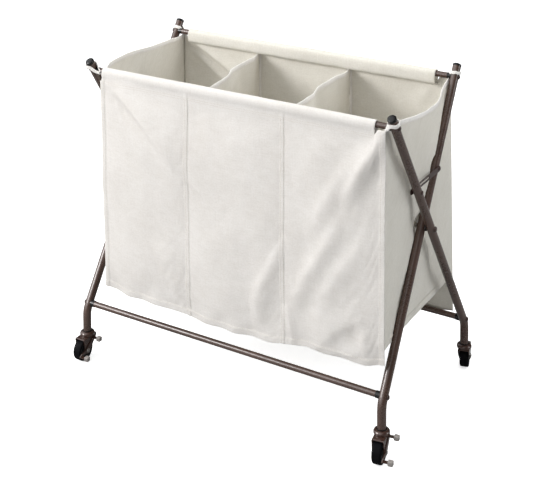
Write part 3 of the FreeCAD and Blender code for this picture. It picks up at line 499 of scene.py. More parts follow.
def front_hem(x):
    xs = [-0.345, -0.333, -0.277, -0.187, -0.116, -0.064, 0.019, 0.077, 0.112, 0.140, 0.195, 0.254, 0.302, 0.336, 0.362, 0.380]
    zs = [0.1950, 0.1940, 0.1880, 0.1858, 0.1825, 0.1790, 0.1790, 0.1808, 0.1815, 0.1858, 0.1935, 0.1930, 0.1935, 0.1925, 0.2000, 0.2030]
    return np.interp(x, xs, zs)


def front_relief(x, z):
    """How far the front cloth stands out, in metres."""
    h = np.zeros(np.shape(x))
    # pulled from the top left corner
    h += crease(x, z, [(-0.335, 0.684), (-0.276, 0.638), (-0.219, 0.590), (-0.163, 0.538), (-0.112, 0.495)], 0.0095, 0.0420, [0.0, 0.0085, 0.0100, 0.0080, 0.0024], 0.003)
    h -= crease(x, z, [(-0.335, 0.672), (-0.276, 0.624), (-0.219, 0.576), (-0.163, 0.524)], 0.013, 0.0165, [0.0, 0.0040, 0.0042, 0.0])
    # fanned out from the top right corner
    h += crease(x, z, [(0.376, 0.684), (0.350, 0.642), (0.324, 0.596), (0.302, 0.552), (0.280, 0.508)][::-1], 0.0225, 0.0148, [0.0, 0.0083, 0.0124, 0.01, 0.0035], 0.0)
    h += crease(x, z, [(0.360, 0.680), (0.322, 0.632), (0.280, 0.574), (0.243, 0.512), (0.216, 0.456), (0.196, 0.400)][::-1], 0.025, 0.0165, [0.0, 0.0041, 0.0065, 0.0071, 0.0053, 0.0012])
    h += crease(x, z, [(0.300, 0.520), (0.262, 0.455), (0.226, 0.392), (0.196, 0.345), (0.165, 0.290), (0.146, 0.245)][::-1], 0.025, 0.0148, [0.0, 0.0065, 0.0088, 0.0083, 0.0053, 0.0])
    h += crease(x, z, [(0.352, 0.470), (0.310, 0.420), (0.272, 0.368), (0.240, 0.316), (0.228, 0.262), (0.222, 0.215)][::-1], 0.0275, 0.0190, [0.0010, 0.0040, 0.0062, 0.0062, 0.0042, 0.0])
    h += crease(x, z, [(0.168, 0.440), (0.128, 0.388), (0.108, 0.349), (0.080, 0.296), (0.074, 0.258), (0.082, 0.215), (0.092, 0.188)][::-1], 0.0238, 0.0140, [0.0022, 0.0050, 0.0066, 0.0066, 0.0046, 0.0022, 0.0])
    h += crease(x, z, [(0.146, 0.275), (0.153, 0.238), (0.160, 0.205)][::-1], 0.0125, 0.0099, [0.0024, 0.0047, 0.0])
    h += crease(x, z, [(0.205, 0.186), (0.262, 0.246), (0.305, 0.278), (0.345, 0.290)], 0.0140, 0.033, [0.0025, 0.0064, 0.0060, 0.0])
    h += crease(x, z, [(0.243, 0.196), (0.291, 0.203), (0.336, 0.220)], 0.0100, 0.0231, [0.0010, 0.0052, 0.0010])
    h += crease(x, z, [(0.317, 0.290), (0.330, 0.250), (0.338, 0.205)][::-1], 0.0187, 0.0115, [0.0035, 0.0065, 0.0])
    h += crease(x, z, [(0.284, 0.682), (0.226, 0.612), (0.176, 0.548)][::-1], 0.0375, 0.0297, [0.0, 0.0033, 0.0])
    # gathered towards the first seam at the bottom
    h += crease(x, z, [(-0.205, 0.345), (-0.168, 0.296), (-0.140, 0.252), (-0.120, 0.205)][::-1], 0.03, 0.0148, [0.0012, 0.0065, 0.0053, 0.0])
    h += crease(x, z, [(-0.300, 0.420), (-0.268, 0.330), (-0.248, 0.250), (-0.240, 0.195)][::-1], 0.0562, 0.0462, [0.0024, 0.0053, 0.0035, 0.0])
    h += crease(x, z, [(-0.030, 0.470), (-0.022, 0.340), (-0.010, 0.230), (-0.005, 0.185)][::-1], 0.05, 0.0742, [0.0024, 0.0047, 0.0035, 0.0])
    # filled out between the seams, drawn in along them
    lobes = np.interp(x, [-0.345, -0.30, -0.225, -0.15, SEAM_1, -0.05, 0.018, 0.09, SEAM_2, 0.19, 0.26, 0.33, 0.377],
                      [0.0, 0.0025, 0.005, 0.0035, 0.0, 0.003, 0.005, 0.0035, 0.0, 0.002, 0.0035, 0.002, 0.0])
    h += lobes * smooth((z - 0.185) / 0.14) * smooth((0.684 - z) / 0.10)
    fade = smooth((0.684 - z) / 0.05)
    h += (0.0021 * noise(x, z, 0.11, 1) + 0.0011 * noise(x, z, 0.045, 2)) * fade
    h += 0.00045 * noise(x * 1.0, z * 0.8, 0.016, 3) * (0.3 + 0.7 * fade)
    h += 0.00022 * noise(x, z, 0.007, 4)
    # rippled along the bottom hem
    low = smooth((0.235 - z) / 0.045)
    h += low * 0.0028 * np.sin(x * 62 + 1.2 * np.sin(x * 23))
    # felled seams and the puckers beside them
    for s, seed in ((SEAM_1, 11), (SEAM_2, 12)):
        d = np.abs(x - s)
        h += 0.0006 * smooth((SEAM_HALF + 0.0012 - d) / 0.0022)
        h -= 0.0003 * np.exp(-((d - SEAM_HALF - 0.0018) / 0.0016) ** 2)
        h += 0.00055 * np.exp(-d / 0.012) * (d > SEAM_HALF) * np.sin(z * 430 + 2.6 * noise(z, z * 0, 0.03, seed)) * fade
    # turned hems down both sides and along the bottom
    for edge in (x - LEFT_TOP, RIGHT_TOP - x):
        h += 0.0007 * smooth((0.0115 - edge) / 0.0012)
        h -= 0.0005 * np.exp(-((edge - 0.013) / 0.0015) ** 2)
    return h


def columns(lo, hi, step, marks):
    base = list(np.linspace(lo, hi, int(round((hi - lo) / step)) + 1))
    base = [b for b in base if all(abs(b - m) > step * 0.3 for m in marks if lo < m < hi)]
    return np.array(sorted(set([round(v, 6) for v in base + [m for m in marks if lo <= m <= hi]])))


seam_marks = [s + k * d for s in (SEAM_1, SEAM_2) for k in (-1, 1) for d in (0.0015, 0.0034, 0.0052, 0.0066, 0.0090)]
hem_marks = [LEFT_TOP + 0.0105, LEFT_TOP + 0.0125, RIGHT_TOP - 0.0105, RIGHT_TOP - 0.0125, LEFT_TOP + 0.0015, RIGHT_TOP - 0.0015]
X0 = columns(LEFT_TOP, RIGHT_TOP, 0.0048, seam_marks + hem_marks + [SLEEVE_RIGHT])
J_END = int(np.argmin(np.abs(X0 - SLEEVE_RIGHT)))
J_START = int(np.argmin(np.abs(X0 + 0.3365)))

T = np.unique(np.r_[np.linspace(0, 1, 100), 0.002, 0.024, 0.027, 0.030])
T = T[np.r_[True, np.diff(T) > 0.0019]]


def front_grid():
    rows = []
    for t in T:
        z0 = front_hem(X0)
        top = SEAM_Z + 0.0006 * noise(X0, X0 * 0, 0.06, 21) + 0.0125 * smooth((X0 - SLEEVE_RIGHT + 0.001) / 0.010) + 0.0015 * smooth((X0 - 0.365) / 0.012) - 0.002 * smooth((-0.337 - X0) / 0.006)
        z = z0 + (top - z0) * t
        zz = 0.19 + (SEAM_Z - 0.19) * t
        left = np.interp(zz, [0.19, 0.44, 0.684], [-0.335, -0.341, -0.344])
        right = np.interp(zz, [0.19, 0.44, 0.684], [0.372, 0.3735, 0.377])
        x = left + (X0 - LEFT_TOP) / (RIGHT_TOP - LEFT_TOP) * (right - left)
        h = front_relief(X0, zz)
        h += 0.0007 * smooth((0.0135 - (z - z0)) / 0.0013) - 0.0005 * np.exp(-(((z - z0) - 0.0155) / 0.0015) ** 2)
        rows.append(np.stack([x, -0.1895 - h, z], axis=1))
    return np.array(rows)


# the front sleeve: up the outside, over the tube, down the inside to its stitching
FRONT_LOOP = [(-0.1895, 0.6835), (-0.1906, 0.6895), (-0.1913, 0.6965), (-0.1903, 0.7033), (-0.1868, 0.7087), (-0.1812, 0.7106), (-0.1755, 0.7089),
              (-0.1716, 0.7037), (-0.1707, 0.6970), (-0.1730, 0.6905), (-0.1790, 0.6868), (-0.1850, 0.6838), (-0.1874, 0.6790), (-0.1879, 0.6705)]
REAR_LOOP = [(0.1895, 0.6835), (0.1906, 0.6895), (0.1913, 0.6965), (0.1903, 0.7033), (0.1868, 0.7087), (0.1812, 0.7106), (0.1757, 0.7090),
             (0.1719, 0.7045), (0.1706, 0.6985), (0.1703, 0.6915), (0.1707, 0.6845), (0.1730, 0.6798), (0.1790, 0.6782), (0.1860, 0.6778), (0.1876, 0.6760)]


def sleeve_rows(base_row, loop, count, seed, sag=0.0010):
    """Rows that carry on from a panel's top row round the tube."""
    s = np.linspace(0, 1, count)[1:]
    path = through(loop, s)
    first = np.array(loop[0])
    x = base_row[:, 0]
    out = []
    for k, (y, z) in zip(s, path):
        row = base_row.copy()
        lift = math.sin(math.pi * k)
        wave = noise(x, x * 0 + k * 0.05, 0.05, seed) * sag * lift + noise(x, x * 0 + k * 0.03, 0.018, seed + 1) * 0.0003 * lift
        under = smooth((k - 0.62) / 0.3)
        row[:, 1] = base_row[:, 1] * (1 - smooth(k / 0.15)) + (y + wave * 0.5) * smooth(k / 0.15) if k < 0.15 else y + wave * 0.5
        row[:, 2] = z + (base_row[:, 2] - first[1]) * (1 - smooth(k / 0.3)) + wave * 0.3 - under * 0.0016 * (0.5 + 0.5 * noise(x, x * 0, 0.035, seed + 2))
        out.append(row)
    return np.array(out)


def settle(P, mask, pin, frames, name, seed_mass=0.28, gravity=1.0):
    """Lets a grid of cloth hang from its pinned edges for a few frames and returns the settled grid."""
    verts, faces, _, used = compact(P.reshape(-1, 3), grid_faces(mask), None)
    obj = make_object(name, verts, faces)
    group = obj.vertex_groups.new(name="pin")
    w = pin.reshape(-1)[used]
    for level in np.unique(np.round(w, 2)):
        group.add([int(i) for i in np.nonzero(np.round(w, 2) == level)[0]], float(level), "REPLACE")
    mod = obj.modifiers.new("drape", "CLOTH")
    s = mod.settings
    s.quality = 6
    s.mass = seed_mass
    s.tension_stiffness = s.compression_stiffness = 22
    s.shear_stiffness = 9
    s.bending_stiffness = 1.6
    s.vertex_group_mass = "pin"
    s.pin_stiffness = 1.0
    s.effector_weights.gravity = gravity
    mod.collision_settings.use_collision = False
    mod.collision_settings.use_self_collision = False
    mod.point_cache.frame_start, mod.point_cache.frame_end = 1, frames
    for f in range(1, frames + 1):
        SCENE.frame_set(f)
    dg = bpy.context.evaluated_depsgraph_get()
    ev = obj.evaluated_get(dg)
    co = np.zeros(len(verts) * 3)
    ev.data.vertices.foreach_get("co", co)
    co = co.reshape(-1, 3)
    SCENE.frame_set(1)
    mesh = obj.data
    bpy.data.objects.remove(obj)
    bpy.data.meshes.remove(mesh)
    out = P.reshape(-1, 3).copy()
    move = co - verts
    size = np.linalg.norm(move, axis=1, keepdims=True)
    move *= np.minimum(1.0, 0.006 / np.maximum(size, 1e-9))
    out[used] = verts + move
    return out.reshape(P.shape)


F = front_grid()
rows_main = len(F)
F = np.concatenate([F, sleeve_rows(F[-1], FRONT_LOOP, 30, 31)])
f_mask = np.ones((F.shape[0] - 1, F.shape[1] - 1), bool)
f_mask[rows_main - 1:, J_END:] = False
f_mask[rows_main - 1:, :J_START] = False
main = F[:rows_main]
pin = np.full(main.shape[:2], 0.30)
t_grid = np.repeat(T[:, None], main.shape[1], axis=1)
pin = np.maximum(pin, smooth((t_grid - 0.86) / 0.12))
for edge in (X0 - LEFT_TOP, RIGHT_TOP - X0):
    pin = np.maximum(pin, smooth((0.02 - edge) / 0.016)[None, :] * 0.95)
for s in (SEAM_1, SEAM_2):
    pin = np.maximum(pin, 0.65 * smooth((0.012 - np.abs(X0 - s)) / 0.006)[None, :])
F[:rows_main] = settle(main, np.ones((rows_main - 1, main.shape[1] - 1), bool), pin, 16, "drape_front")
F_uv = lay(F)
F_n = -normals(F)
if F_n[10, 10, 1] > 0:
    F_n = -F_n
v, f, u, _ = compact(F.reshape(-1, 3), grid_faces(f_mask), F_uv.reshape(-1, 2))
bag_front = make_object("bag_front_cloth", v, f, u)
solidify(bag_front)

# ------------------------------------------------------------------ the bag's sides and back: one lofted shell

LEAN = math.atan2(0.194, 0.715 - PIVOT)


def clear_of_leg(side, x, y, z, leg_x, lean_sign, gap=0.0016):
    """Draws the cloth in behind a leg's tube so that it lies against it, not through it. side is +1 on the right."""
    axis_y = lean_sign * math.tan(LEAN) * (z - PIVOT)
    d = (y - axis_y) * math.cos(LEAN)
    r = 0.0095 + gap
    inside = np.sqrt(np.maximum(r * r - d * d, 0.0))
    limit = leg_x - inside - 0.0
    ramp = leg_x - 0.004 + np.maximum(np.abs(d) - r, 0) * 0.9
    limit = np.where(np.abs(d) < r, np.minimum(limit, leg_x - 0.004), ramp)
    hub = np.hypot(y, z - PIVOT)
    limit = np.minimum(limit, 0.3520 + np.maximum(hub - 0.0085, 0) * 0.55)
    riv = np.hypot(np.abs(y) - 0.0687, z - 0.5237)
    limit = np.where(lean_sign * y > 0, np.minimum(limit, 0.3552 + np.maximum(riv - 0.006, 0) * 0.7), limit)
    a = x * side
    k = 0.0030
    m = np.clip(0.5 + 0.5 * (limit - a) / k, 0, 1)
    return side * (limit * (1 - m) + a * m - k * m * (1 - m))


HEM_Z = 0.2265
REAR_LOW = 0.1365
RIGHT_TOP_PTS = [(0.3710, -0.1883, 0.6965), (0.3740, -0.170, 0.6945), (0.3755, -0.138, 0.6930), (0.3805, -0.090, 0.6855), (0.3800, -0.033, 0.6765), (0.3800, 0.010, 0.6725),
                 (0.3790, 0.055, 0.6725), (0.3740, 0.088, 0.6755), (0.3640, 0.121, 0.6810), (0.3585, 0.150, 0.6875), (0.3555, 0.168, 0.6915), (0.3545, 0.180, 0.6930)]
RIGHT_MID_PTS = [(0.3700, -0.1883), (0.3695, -0.165), (0.3690, -0.130), (0.3680, -0.090), (0.3670, -0.040), (0.3660, 0.0), (0.3660, 0.050), (0.3645, 0.090),
                 (0.3615, 0.125), (0.3580, 0.150), (0.3545, 0.170), (0.3520, 0.186)]
RIGHT_LOW_PTS = [(0.3665, -0.1883), (0.3650, -0.165), (0.3635, -0.130), (0.3620, -0.090), (0.3610, -0.040), (0.3610, 0.0), (0.3615, 0.050), (0.3625, 0.090),
                 (0.3615, 0.125), (0.3605, 0.150), (0.3600, 0.170), (0.3600, 0.187)]
LEFT_TOP_PTS = [(-0.3705, 0.181, 0.6965), (-0.3690, 0.167, 0.6945), (-0.3700, 0.135, 0.6920), (-0.3715, 0.100, 0.6905), (-0.3770, 0.045, 0.6900), (-0.3890, 0.004, 0.6895),
                (-0.3930, -0.038, 0.6895), (-0.3830, -0.097, 0.6905), (-0.3660, -0.138, 0.6915), (-0.3540, -0.160, 0.6905), (-0.3470, -0.174, 0.6880), (-0.3410, -0.1883, 0.6845)]
LEFT_MID_PTS = [(-0.3700, 0.185), (-0.3700, 0.165), (-0.3700, 0.130), (-0.3695, 0.095), (-0.3700, 0.045), (-0.3720, 0.0), (-0.3720, -0.040), (-0.3680, -0.090),
                (-0.3600, -0.130), (-0.3520, -0.160), (-0.3460, -0.175), (-0.3380, -0.1883)]
LEFT_LOW_PTS = [(-0.3560, 0.187), (-0.3555, 0.165), (-0.3545, 0.130), (-0.3540, 0.095), (-0.3540, 0.045), (-0.3540, 0.0), (-0.3530, -0.040), (-0.3500, -0.090),
                (-0.3450, -0.130), (-0.3405, -0.160), (-0.3370, -0.175), (-0.3330, -0.1883)]


def rear_edge(z, side):
    if side > 0:
        return np.interp(z, [0.130, 0.206, 0.290, 0.370, 0.454, 0.520, 0.589, 0.640, 0.669, 0.687, 0.711],
                         [0.3625, 0.3620, 0.3615, 0.3605, 0.3595, 0.3585, 0.3575, 0.3570, 0.3565, 0.3560, 0.3555])
    return np.interp(z, [0.130, 0.206, 0.340, 0.50, 0.62, 0.69, 0.711], [-0.352, -0.358, -0.370, -0.376, -0.377, -0.3755, -0.372])


N_SIDE, N_REAR, N_TURN = 60, 124, 5
q_side = np.linspace(0, 1, N_SIDE)
LOW_ROWS, HIGH_ROWS = 18, 92
tau_low = np.linspace(0, 1, LOW_ROWS + 1)[:-1]
tau_high = np.unique(np.r_[np.linspace(0, 1, HIGH_ROWS), 0.003, 0.030, 0.0335])


def side_wall(top, mid, low, side):
    """Rows of a side wall from the hem up to the rim."""
    tp = through(top, q_side)
    mp = through([(a, b, 0) for a, b in mid], q_side)
    lp = through([(a, b, 0) for a, b in low], q_side)
    rows = []
    for t in tau_high:
        z = HEM_Z + (tp[:, 2] - HEM_Z) * t
        z = z + (1 - t) ** 3 * 0.0016 * noise(q_side * 0.4, q_side * 0, 0.05, 41 + side)
        c = smooth(np.clip(t / 0.52, 0, 1))
        e = smooth(np.clip((t - 0.42) / 0.58, 0, 1)) ** 1.15
        xy = lp[:, :2] * (1 - c)[..., None] + mp[:, :2] * c if np.ndim(c) else lp[:, :2] * (1 - c) + mp[:, :2] * c
        xy = xy * (1 - e) + tp[:, :2] * e
        x, y = xy[:, 0].copy(), xy[:, 1].copy()
        # soft folds that fall from the rim and hang off the corners
        hang = smooth(np.clip(q_side / 0.06, 0, 1)) * smooth(np.clip((1 - q_side) / 0.06, 0, 1))
        w = 0.0028 * np.sin(y * 46 + 1.7 * np.sin(z * 9) + side) * smooth((0.66 - z) / 0.18) * smooth((z - 0.22) / 0.05)
        w += 0.0034 * np.exp(-((y - 0.048 - 0.05 * (z - 0.30)) / 0.013) ** 2) * smooth((0.40 - z) / 0.10) * smooth((z - 0.232) / 0.02)
        w += 0.0016 * noise(y, z, 0.07, 43 + side) + 0.0006 * noise(y, z, 0.022, 44 + side) + 0.00022 * noise(y, z, 0.008, 45)
        w -= 0.0026 * np.exp(-((y + 0.12 + 0.30 * (z - 0.55)) / 0.020) ** 2) * smooth((z - 0.42) / 0.1) * smooth((0.68 - z) / 0.05)
        x = x + side * w * hang
        if side > 0:
            x = clear_of_leg(1, x, y, z, 0.369, 1)
            x = np.minimum(x, 0.3795 + np.maximum(np.abs((y + math.tan(LEAN) * (z - PIVOT)) * math.cos(LEAN)) - 0.011, 0) * 0.9)
        else:
            x = clear_of_leg(-1, x, y, z, -0.369 * -1, -1)
        # turned hem at the bottom
        x = x + side * 0.0007 * smooth((0.013 - (z - HEM_Z)) / 0.0013)
        rows.append(np.stack([x, y, z], axis=1))
    return np.array(rows)


RW = side_wall(RIGHT_TOP_PTS, RIGHT_MID_PTS, RIGHT_LOW_PTS, 1)
LW = side_wall(LEFT_TOP_PTS, LEFT_MID_PTS, LEFT_LOW_PTS, -1)

# back panel columns, from right to left, with the sleeve between its two ends
REAR_SLEEVE_R, REAR_SLEEVE_L = 0.325, -0.347
XR0 = columns(-0.3725, 0.3555, 0.0058, [REAR_SLEEVE_R, REAR_SLEEVE_L] + [s + k * d for s in (-0.150, 0.101) for k in (-1, 1) for d in (0.0016, 0.0052)])[::-1]


def rear_relief(x, z):
    h = np.zeros(np.shape(x))       # positive comes forward, into the bag
    h += crease(x, z, [(-0.374, 0.684), (-0.330, 0.672), (-0.290, 0.650), (-0.230, 0.612), (-0.170, 0.560)], 0.0080, 0.016, [0.0, 0.009, 0.011, 0.008, 0.0])
    h -= crease(x, z, [(-0.374, 0.668), (-0.325, 0.652), (-0.280, 0.624), (-0.225, 0.584)], 0.010, 0.010, [0.0, 0.005, 0.006, 0.001])
    h += crease(x, z, [(-0.368, 0.660), (-0.324, 0.637), (-0.258, 0.590), (-0.200, 0.530)], 0.009, 0.014, [0.0, 0.006, 0.006, 0.0])
    h += crease(x, z, [(0.325, 0.684), (0.290, 0.640), (0.262, 0.585)], 0.016, 0.016, [0.0, 0.0035, 0.0])
    h += crease(x, z, [(0.335, 0.600), (0.325, 0.480), (0.335, 0.360)], 0.014, 0.014, [0.0, 0.004, 0.0])
    lobes = np.interp(x, [-0.38, -0.26, -0.150, -0.02, 0.101, 0.22, 0.38], [0.0, -0.0045, 0.001, -0.005, 0.001, -0.0045, 0.0])
    h += lobes * smooth((z - 0.23) / 0.1) * smooth((0.684 - z) / 0.12)
    fade = smooth((0.684 - z) / 0.05)
    h += (0.0020 * noise(x, z, 0.12, 51) + 0.0010 * noise(x, z, 0.05, 52)) * fade + 0.0004 * noise(x, z, 0.016, 53) * (0.3 + 0.7 * fade) + 0.0002 * noise(x, z, 0.007, 54)
    low = smooth((0.25 - z) / 0.09)
    h += low * 0.0025 * np.sin(x * 38 + 1.1)
    for s in (-0.150, 0.101):
        d = np.abs(x - s)
        h -= 0.0007 * np.exp(-((d - 0.004) / 0.002) ** 2)
        h += 0.0005 * np.exp(-d / 0.012) * np.sin(z * 400 + 2.6 * noise(z, z * 0, 0.03, 55)) * fade
    return h


def rear_panel():
    rows = []
    zs_low = [REAR_LOW + (HEM_Z - REAR_LOW) * t for t in tau_low]
    zs_high = [HEM_Z + (SEAM_Z - HEM_Z) * t for t in tau_high]
    for z in zs_low + zs_high:
        r, l = rear_edge(z, 1), rear_edge(z, -1)
        share = (XR0 - XR0[-1]) / (XR0[0] - XR0[-1])
        x = l + (r - l) * share
        climb = (0.011 * smooth((-0.350 - XR0) / 0.020) + 0.0165 * smooth((XR0 - 0.325) / 0.006)) * smooth((z - 0.60) / 0.08)
        zz = z + climb + (0.0040 * np.sin(XR0 * 21 + 0.6) + 0.0015 * np.sin(XR0 * 55)) * smooth((HEM_Z - z) / 0.07)
        base = np.interp(z, [0.13, 0.25, 0.684], [0.1962, 0.1935, 0.1895])
        edge = np.minimum(XR0 - XR0[-1], XR0[0] - XR0)
        h = rear_relief(x, np.full_like(x, z)) * smooth(edge / 0.03)
        limit = 0.0030 if z < 0.20 else 1.0
        h = np.minimum(h, limit)
        rows.append(np.stack([x, base - h, zz], axis=1))
    return np.array(rows)


RP = rear_panel()
JR = int(np.argmin(np.abs(XR0 - REAR_SLEEVE_R)))
JL = int(np.argmin(np.abs(XR0 - REAR_SLEEVE_L)))
rear_top = sleeve_rows(RP[-1], REAR_LOOP, 30, 61)

# one grid: right wall, back, left wall; the corner columns are shared and softened
n_low, n_high = LOW_ROWS, len(tau_high)
cols = N_SIDE + len(XR0) + N_SIDE
U = np.zeros((n_low + n_high + len(rear_top), cols, 3))
U[n_low:n_low + n_high, :N_SIDE] = RW
U[:n_low + n_high, N_SIDE:N_SIDE + len(XR0)] = RP
U[n_low:n_low + n_high, N_SIDE + len(XR0):] = LW
U[n_low + n_high:, N_SIDE:N_SIDE + len(XR0)] = rear_top
for k in list(range(n_low)) + list(range(n_low + n_high, len(U))):
    U[k, :N_SIDE] = U[k, N_SIDE]
    U[k, N_SIDE + len(XR0):] = U[k, N_SIDE + len(XR0) - 1]
# the side walls end on the back panel's edge, just inside a narrow pressed lip
for k in range(n_low, n_low + n_high):
    for a, b, direction in ((N_SIDE - 1, N_SIDE, 1), (N_SIDE + len(XR0), N_SIDE + len(XR0) - 1, -1)):
        target = U[k, b].copy()
        shift = target - U[k, a]
        for m in range(14):
            j = a - m if direction > 0 else a + m
            U[k, j] += shift * smooth(1 - m / 14.0) * 0.96
u_mask = np.zeros((U.shape[0] - 1, cols - 1), bool)
u_mask[n_low:n_low + n_high - 1, :] = True
u_mask[:n_low, N_SIDE:N_SIDE + len(XR0) - 1] = True
u_mask[n_low + n_high - 1:, N_SIDE + JR:N_SIDE + JL] = True
body = U[:n_low + n_high]
m2 = u_mask[:n_low + n_high - 1]
pin = np.full(body.shape[:2], 0.45)
zg = body[..., 2]
pin = np.maximum(pin, smooth((zg - 0.60) / 0.07))
pin[:, :4] = 1.0
pin[:, -4:] = 1.0
for j in (N_SIDE, N_SIDE + len(XR0)):
    pin[:, j - 4:j + 5] = np.maximum(pin[:, j - 4:j + 5], 0.9)
pin[n_low:n_low + 3] = np.maximum(pin[n_low:n_low + 3], 0.8)
settled = settle(body, m2, pin, 10, "drape_shell")
for sgn, a, b in ((1, 0, N_SIDE), (-1, N_SIDE + len(XR0), cols)):
    blk = settled[n_low:, a:b]
    if sgn > 0:
        blk[..., 0] = np.minimum(blk[..., 0], clear_of_leg(1, blk[..., 0], blk[..., 1], blk[..., 2], 0.369, 1) + 0.0008)
    else:
        blk[..., 0] = np.maximum(blk[..., 0], clear_of_leg(-1, blk[..., 0], blk[..., 1], blk[..., 2], 0.369, -1) - 0.0008)
U[:n_low + n_high] = settled
U_uv = lay(U)
U_n = normals(U)
if U_n[n_low + 20, 10, 0] < 0:
    U_n = -U_n
# the rear sleeve stays round its tube when the bag closes, so it is a piece of its own from the seam up
s_mask = np.zeros_like(u_mask)
s_mask[n_low + n_high - 1:] = u_mask[n_low + n_high - 1:]
v, f, u, _ = compact(U.reshape(-1, 3), grid_faces(s_mask), U_uv.reshape(-1, 2))
rear_sleeve = make_object("bag_rear_sleeve_cloth", v, f, u)
solidify(rear_sleeve)
v, f, u, _ = compact(U.reshape(-1, 3), grid_faces(u_mask & ~s_mask), U_uv.reshape(-1, 2))
bag_shell = make_object("bag_shell_cloth", v, f, u)
solidify(bag_shell)

# ------------------------------------------------------------------ bindings, seams and the bag's inside

BIND = np.array([(-0.0008, -0.0098), (-0.0011, -0.0095), (-0.0011, -0.0089), (-0.0011, -0.0021), (-0.0011, -0.0014), (-0.0009, -0.0004), (-0.0005, 0.0004), (0.0, 0.0006),
                 (0.0005, 0.0004), (0.0009, -0.0004), (0.0011, -0.0014), (0.0011, -0.0021), (0.0011, -0.0089), (0.0011, -0.0095), (0.0008, -0.0098),
                 (0.0004, -0.0089), (0.0004, -0.0010), (-0.0004, -0.0010), (-0.0004, -0.0089)])


def unit(a):
    return a / np.maximum(np.linalg.norm(a, axis=-1, keepdims=True), 1e-12)


def rim_binding(P, N, i_top, cols_used, wobble=0):
    """A hem folded over a wall's top edge, following its slope."""
    path = P[i_top, cols_used]
    down = unit(P[i_top - 3, cols_used] - path)
    side = unit(N[i_top - 1, cols_used])
    path = path - side * (THICK / 2)
    if wobble:
        run = np.r_[0, np.cumsum(np.linalg.norm(np.diff(path, axis=0), axis=1))]
        path = path + side * (0.0005 * noise(run, run * 0, 0.015, wobble))[:, None]
    return sweep("x", path, BIND, (side, -down))


top_row = n_low + n_high - 1
rim_parts = [
    rim_binding(U, U_n, top_row, np.arange(0, N_SIDE + JR - 1), 71),
    rim_binding(U, U_n, top_row, np.arange(N_SIDE + JL + 1, cols), 72),
]
bag_rims = join_parts("bag_rim_hems", rim_parts)


def divider_surface(front, rear, top_path, top_z, seed):
    """A cloth wall from the front panel to the back, kinked along its top edge."""
    vv, ss = np.linspace(0, 1, 70), np.linspace(0, 1, 84)
    tp = through(top_path, ss)
    out = []
    for t in vv:
        e = smooth(np.clip((t - 0.30) / 0.70, 0, 1)) ** 1.4
        y = -0.1880 + (0.1875 + 0.1880) * ss
        straight = front + (rear - front) * ss + 0.004 * np.sin(ss * 7 + seed)
        x = straight * (1 - e) + np.interp(y, tp[:, 1], tp[:, 0]) * e
        z = 0.226 + (np.interp(y, tp[:, 1], tp[:, 2]) - 0.226) * t
        amp = np.sin(math.pi * ss) ** 0.6
        x = x + amp * (0.0030 * noise(y, z, 0.09, seed) + 0.0012 * noise(y, z, 0.035, seed + 1) + 0.0003 * noise(y, z, 0.012, seed + 2))
        x = x + amp * 0.0045 * np.sin(y * 55 + seed) * smooth((top_z - z) / 0.05) * smooth((z - 0.45) / 0.2)
        out.append(np.stack([x, y, z], axis=1))
    return np.array(out)


DIV = {
    "left": divider_surface(-0.107, -0.150, [(-0.1030, -0.1880, 0.6780), (-0.1030, -0.150, 0.6755), (-0.1035, -0.100, 0.6735), (-0.1130, -0.050, 0.6715), (-0.1200, -0.006, 0.6700), (-0.1290, 0.019, 0.6700),
                                              (-0.1385, 0.040, 0.6705), (-0.1400, 0.070, 0.6710), (-0.1385, 0.110, 0.6730), (-0.1400, 0.150, 0.6755), (-0.1490, 0.1875, 0.6790)], 0.675, 81),
    "right": divider_surface(0.139, 0.101, [(0.1390, -0.1880, 0.6780), (0.1340, -0.150, 0.6755), (0.1220, -0.100, 0.6735), (0.1170, -0.050, 0.6715), (0.1150, -0.018, 0.6705), (0.1060, 0.012, 0.6700),
                                             (0.1000, 0.035, 0.6700), (0.1000, 0.062, 0.6705), (0.1040, 0.106, 0.6730), (0.1080, 0.150, 0.6760), (0.1010, 0.1875, 0.6790)], 0.675, 91),
}
divider_objs, bind_parts, stitch_rows_in = [], [], []
for which, P in DIV.items():
    N = normals(P)
    uv = lay(P)
    obj = make_object("bag_divider_cloth_" + which, P.reshape(-1, 3), grid_faces(np.ones((P.shape[0] - 1, P.shape[1] - 1), bool)), uv.reshape(-1, 2))
    solidify(obj, offset=0.0)
    divider_objs.append(obj)
    last = len(P) - 1
    path = P[last]
    side = unit(N[last - 1])
    down = unit(P[last - 3] - path)
    bind_parts.append(sweep("x", path, BIND, (side, -down)))
    for sgn in (-1, 1):
        pts = path + down * 0.0074 + side * (0.0013 * sgn)
        stitch_rows_in.append((pts, side * sgn))
    # the divider's back edge is taped down to the back panel
    z = np.linspace(0.232, 0.676, 90)
    x_edge = np.interp(z, P[:, -1, 2], P[:, -1, 0])
    seam_path = np.stack([x_edge, np.full_like(z, 0.1878) - 0.0, z], axis=1)
    back_y = np.array([RP[np.argmin(np.abs(RP[:, len(XR0) // 2, 2] - zz)), np.argmin(np.abs(XR0 - (-0.150 if which == "left" else 0.101))), 1] for zz in z])
    seam_path[:, 1] = back_y - 0.0018
    flat = np.array([(-0.0060, 0.0), (-0.0056, 0.0007), (-0.0012, 0.0009), (0.0, 0.0016), (0.0012, 0.0009), (0.0056, 0.0007), (0.0060, 0.0), (0.0, -0.0004)])
    ones = np.ones(len(z))[:, None]
    bind_parts.append(sweep("x", seam_path, flat, (ones * np.array([[1.0, 0, 0]]), ones * np.array([[0, -1.0, 0]]))))
bag_bindings = join_parts("bag_bindings", bind_parts)

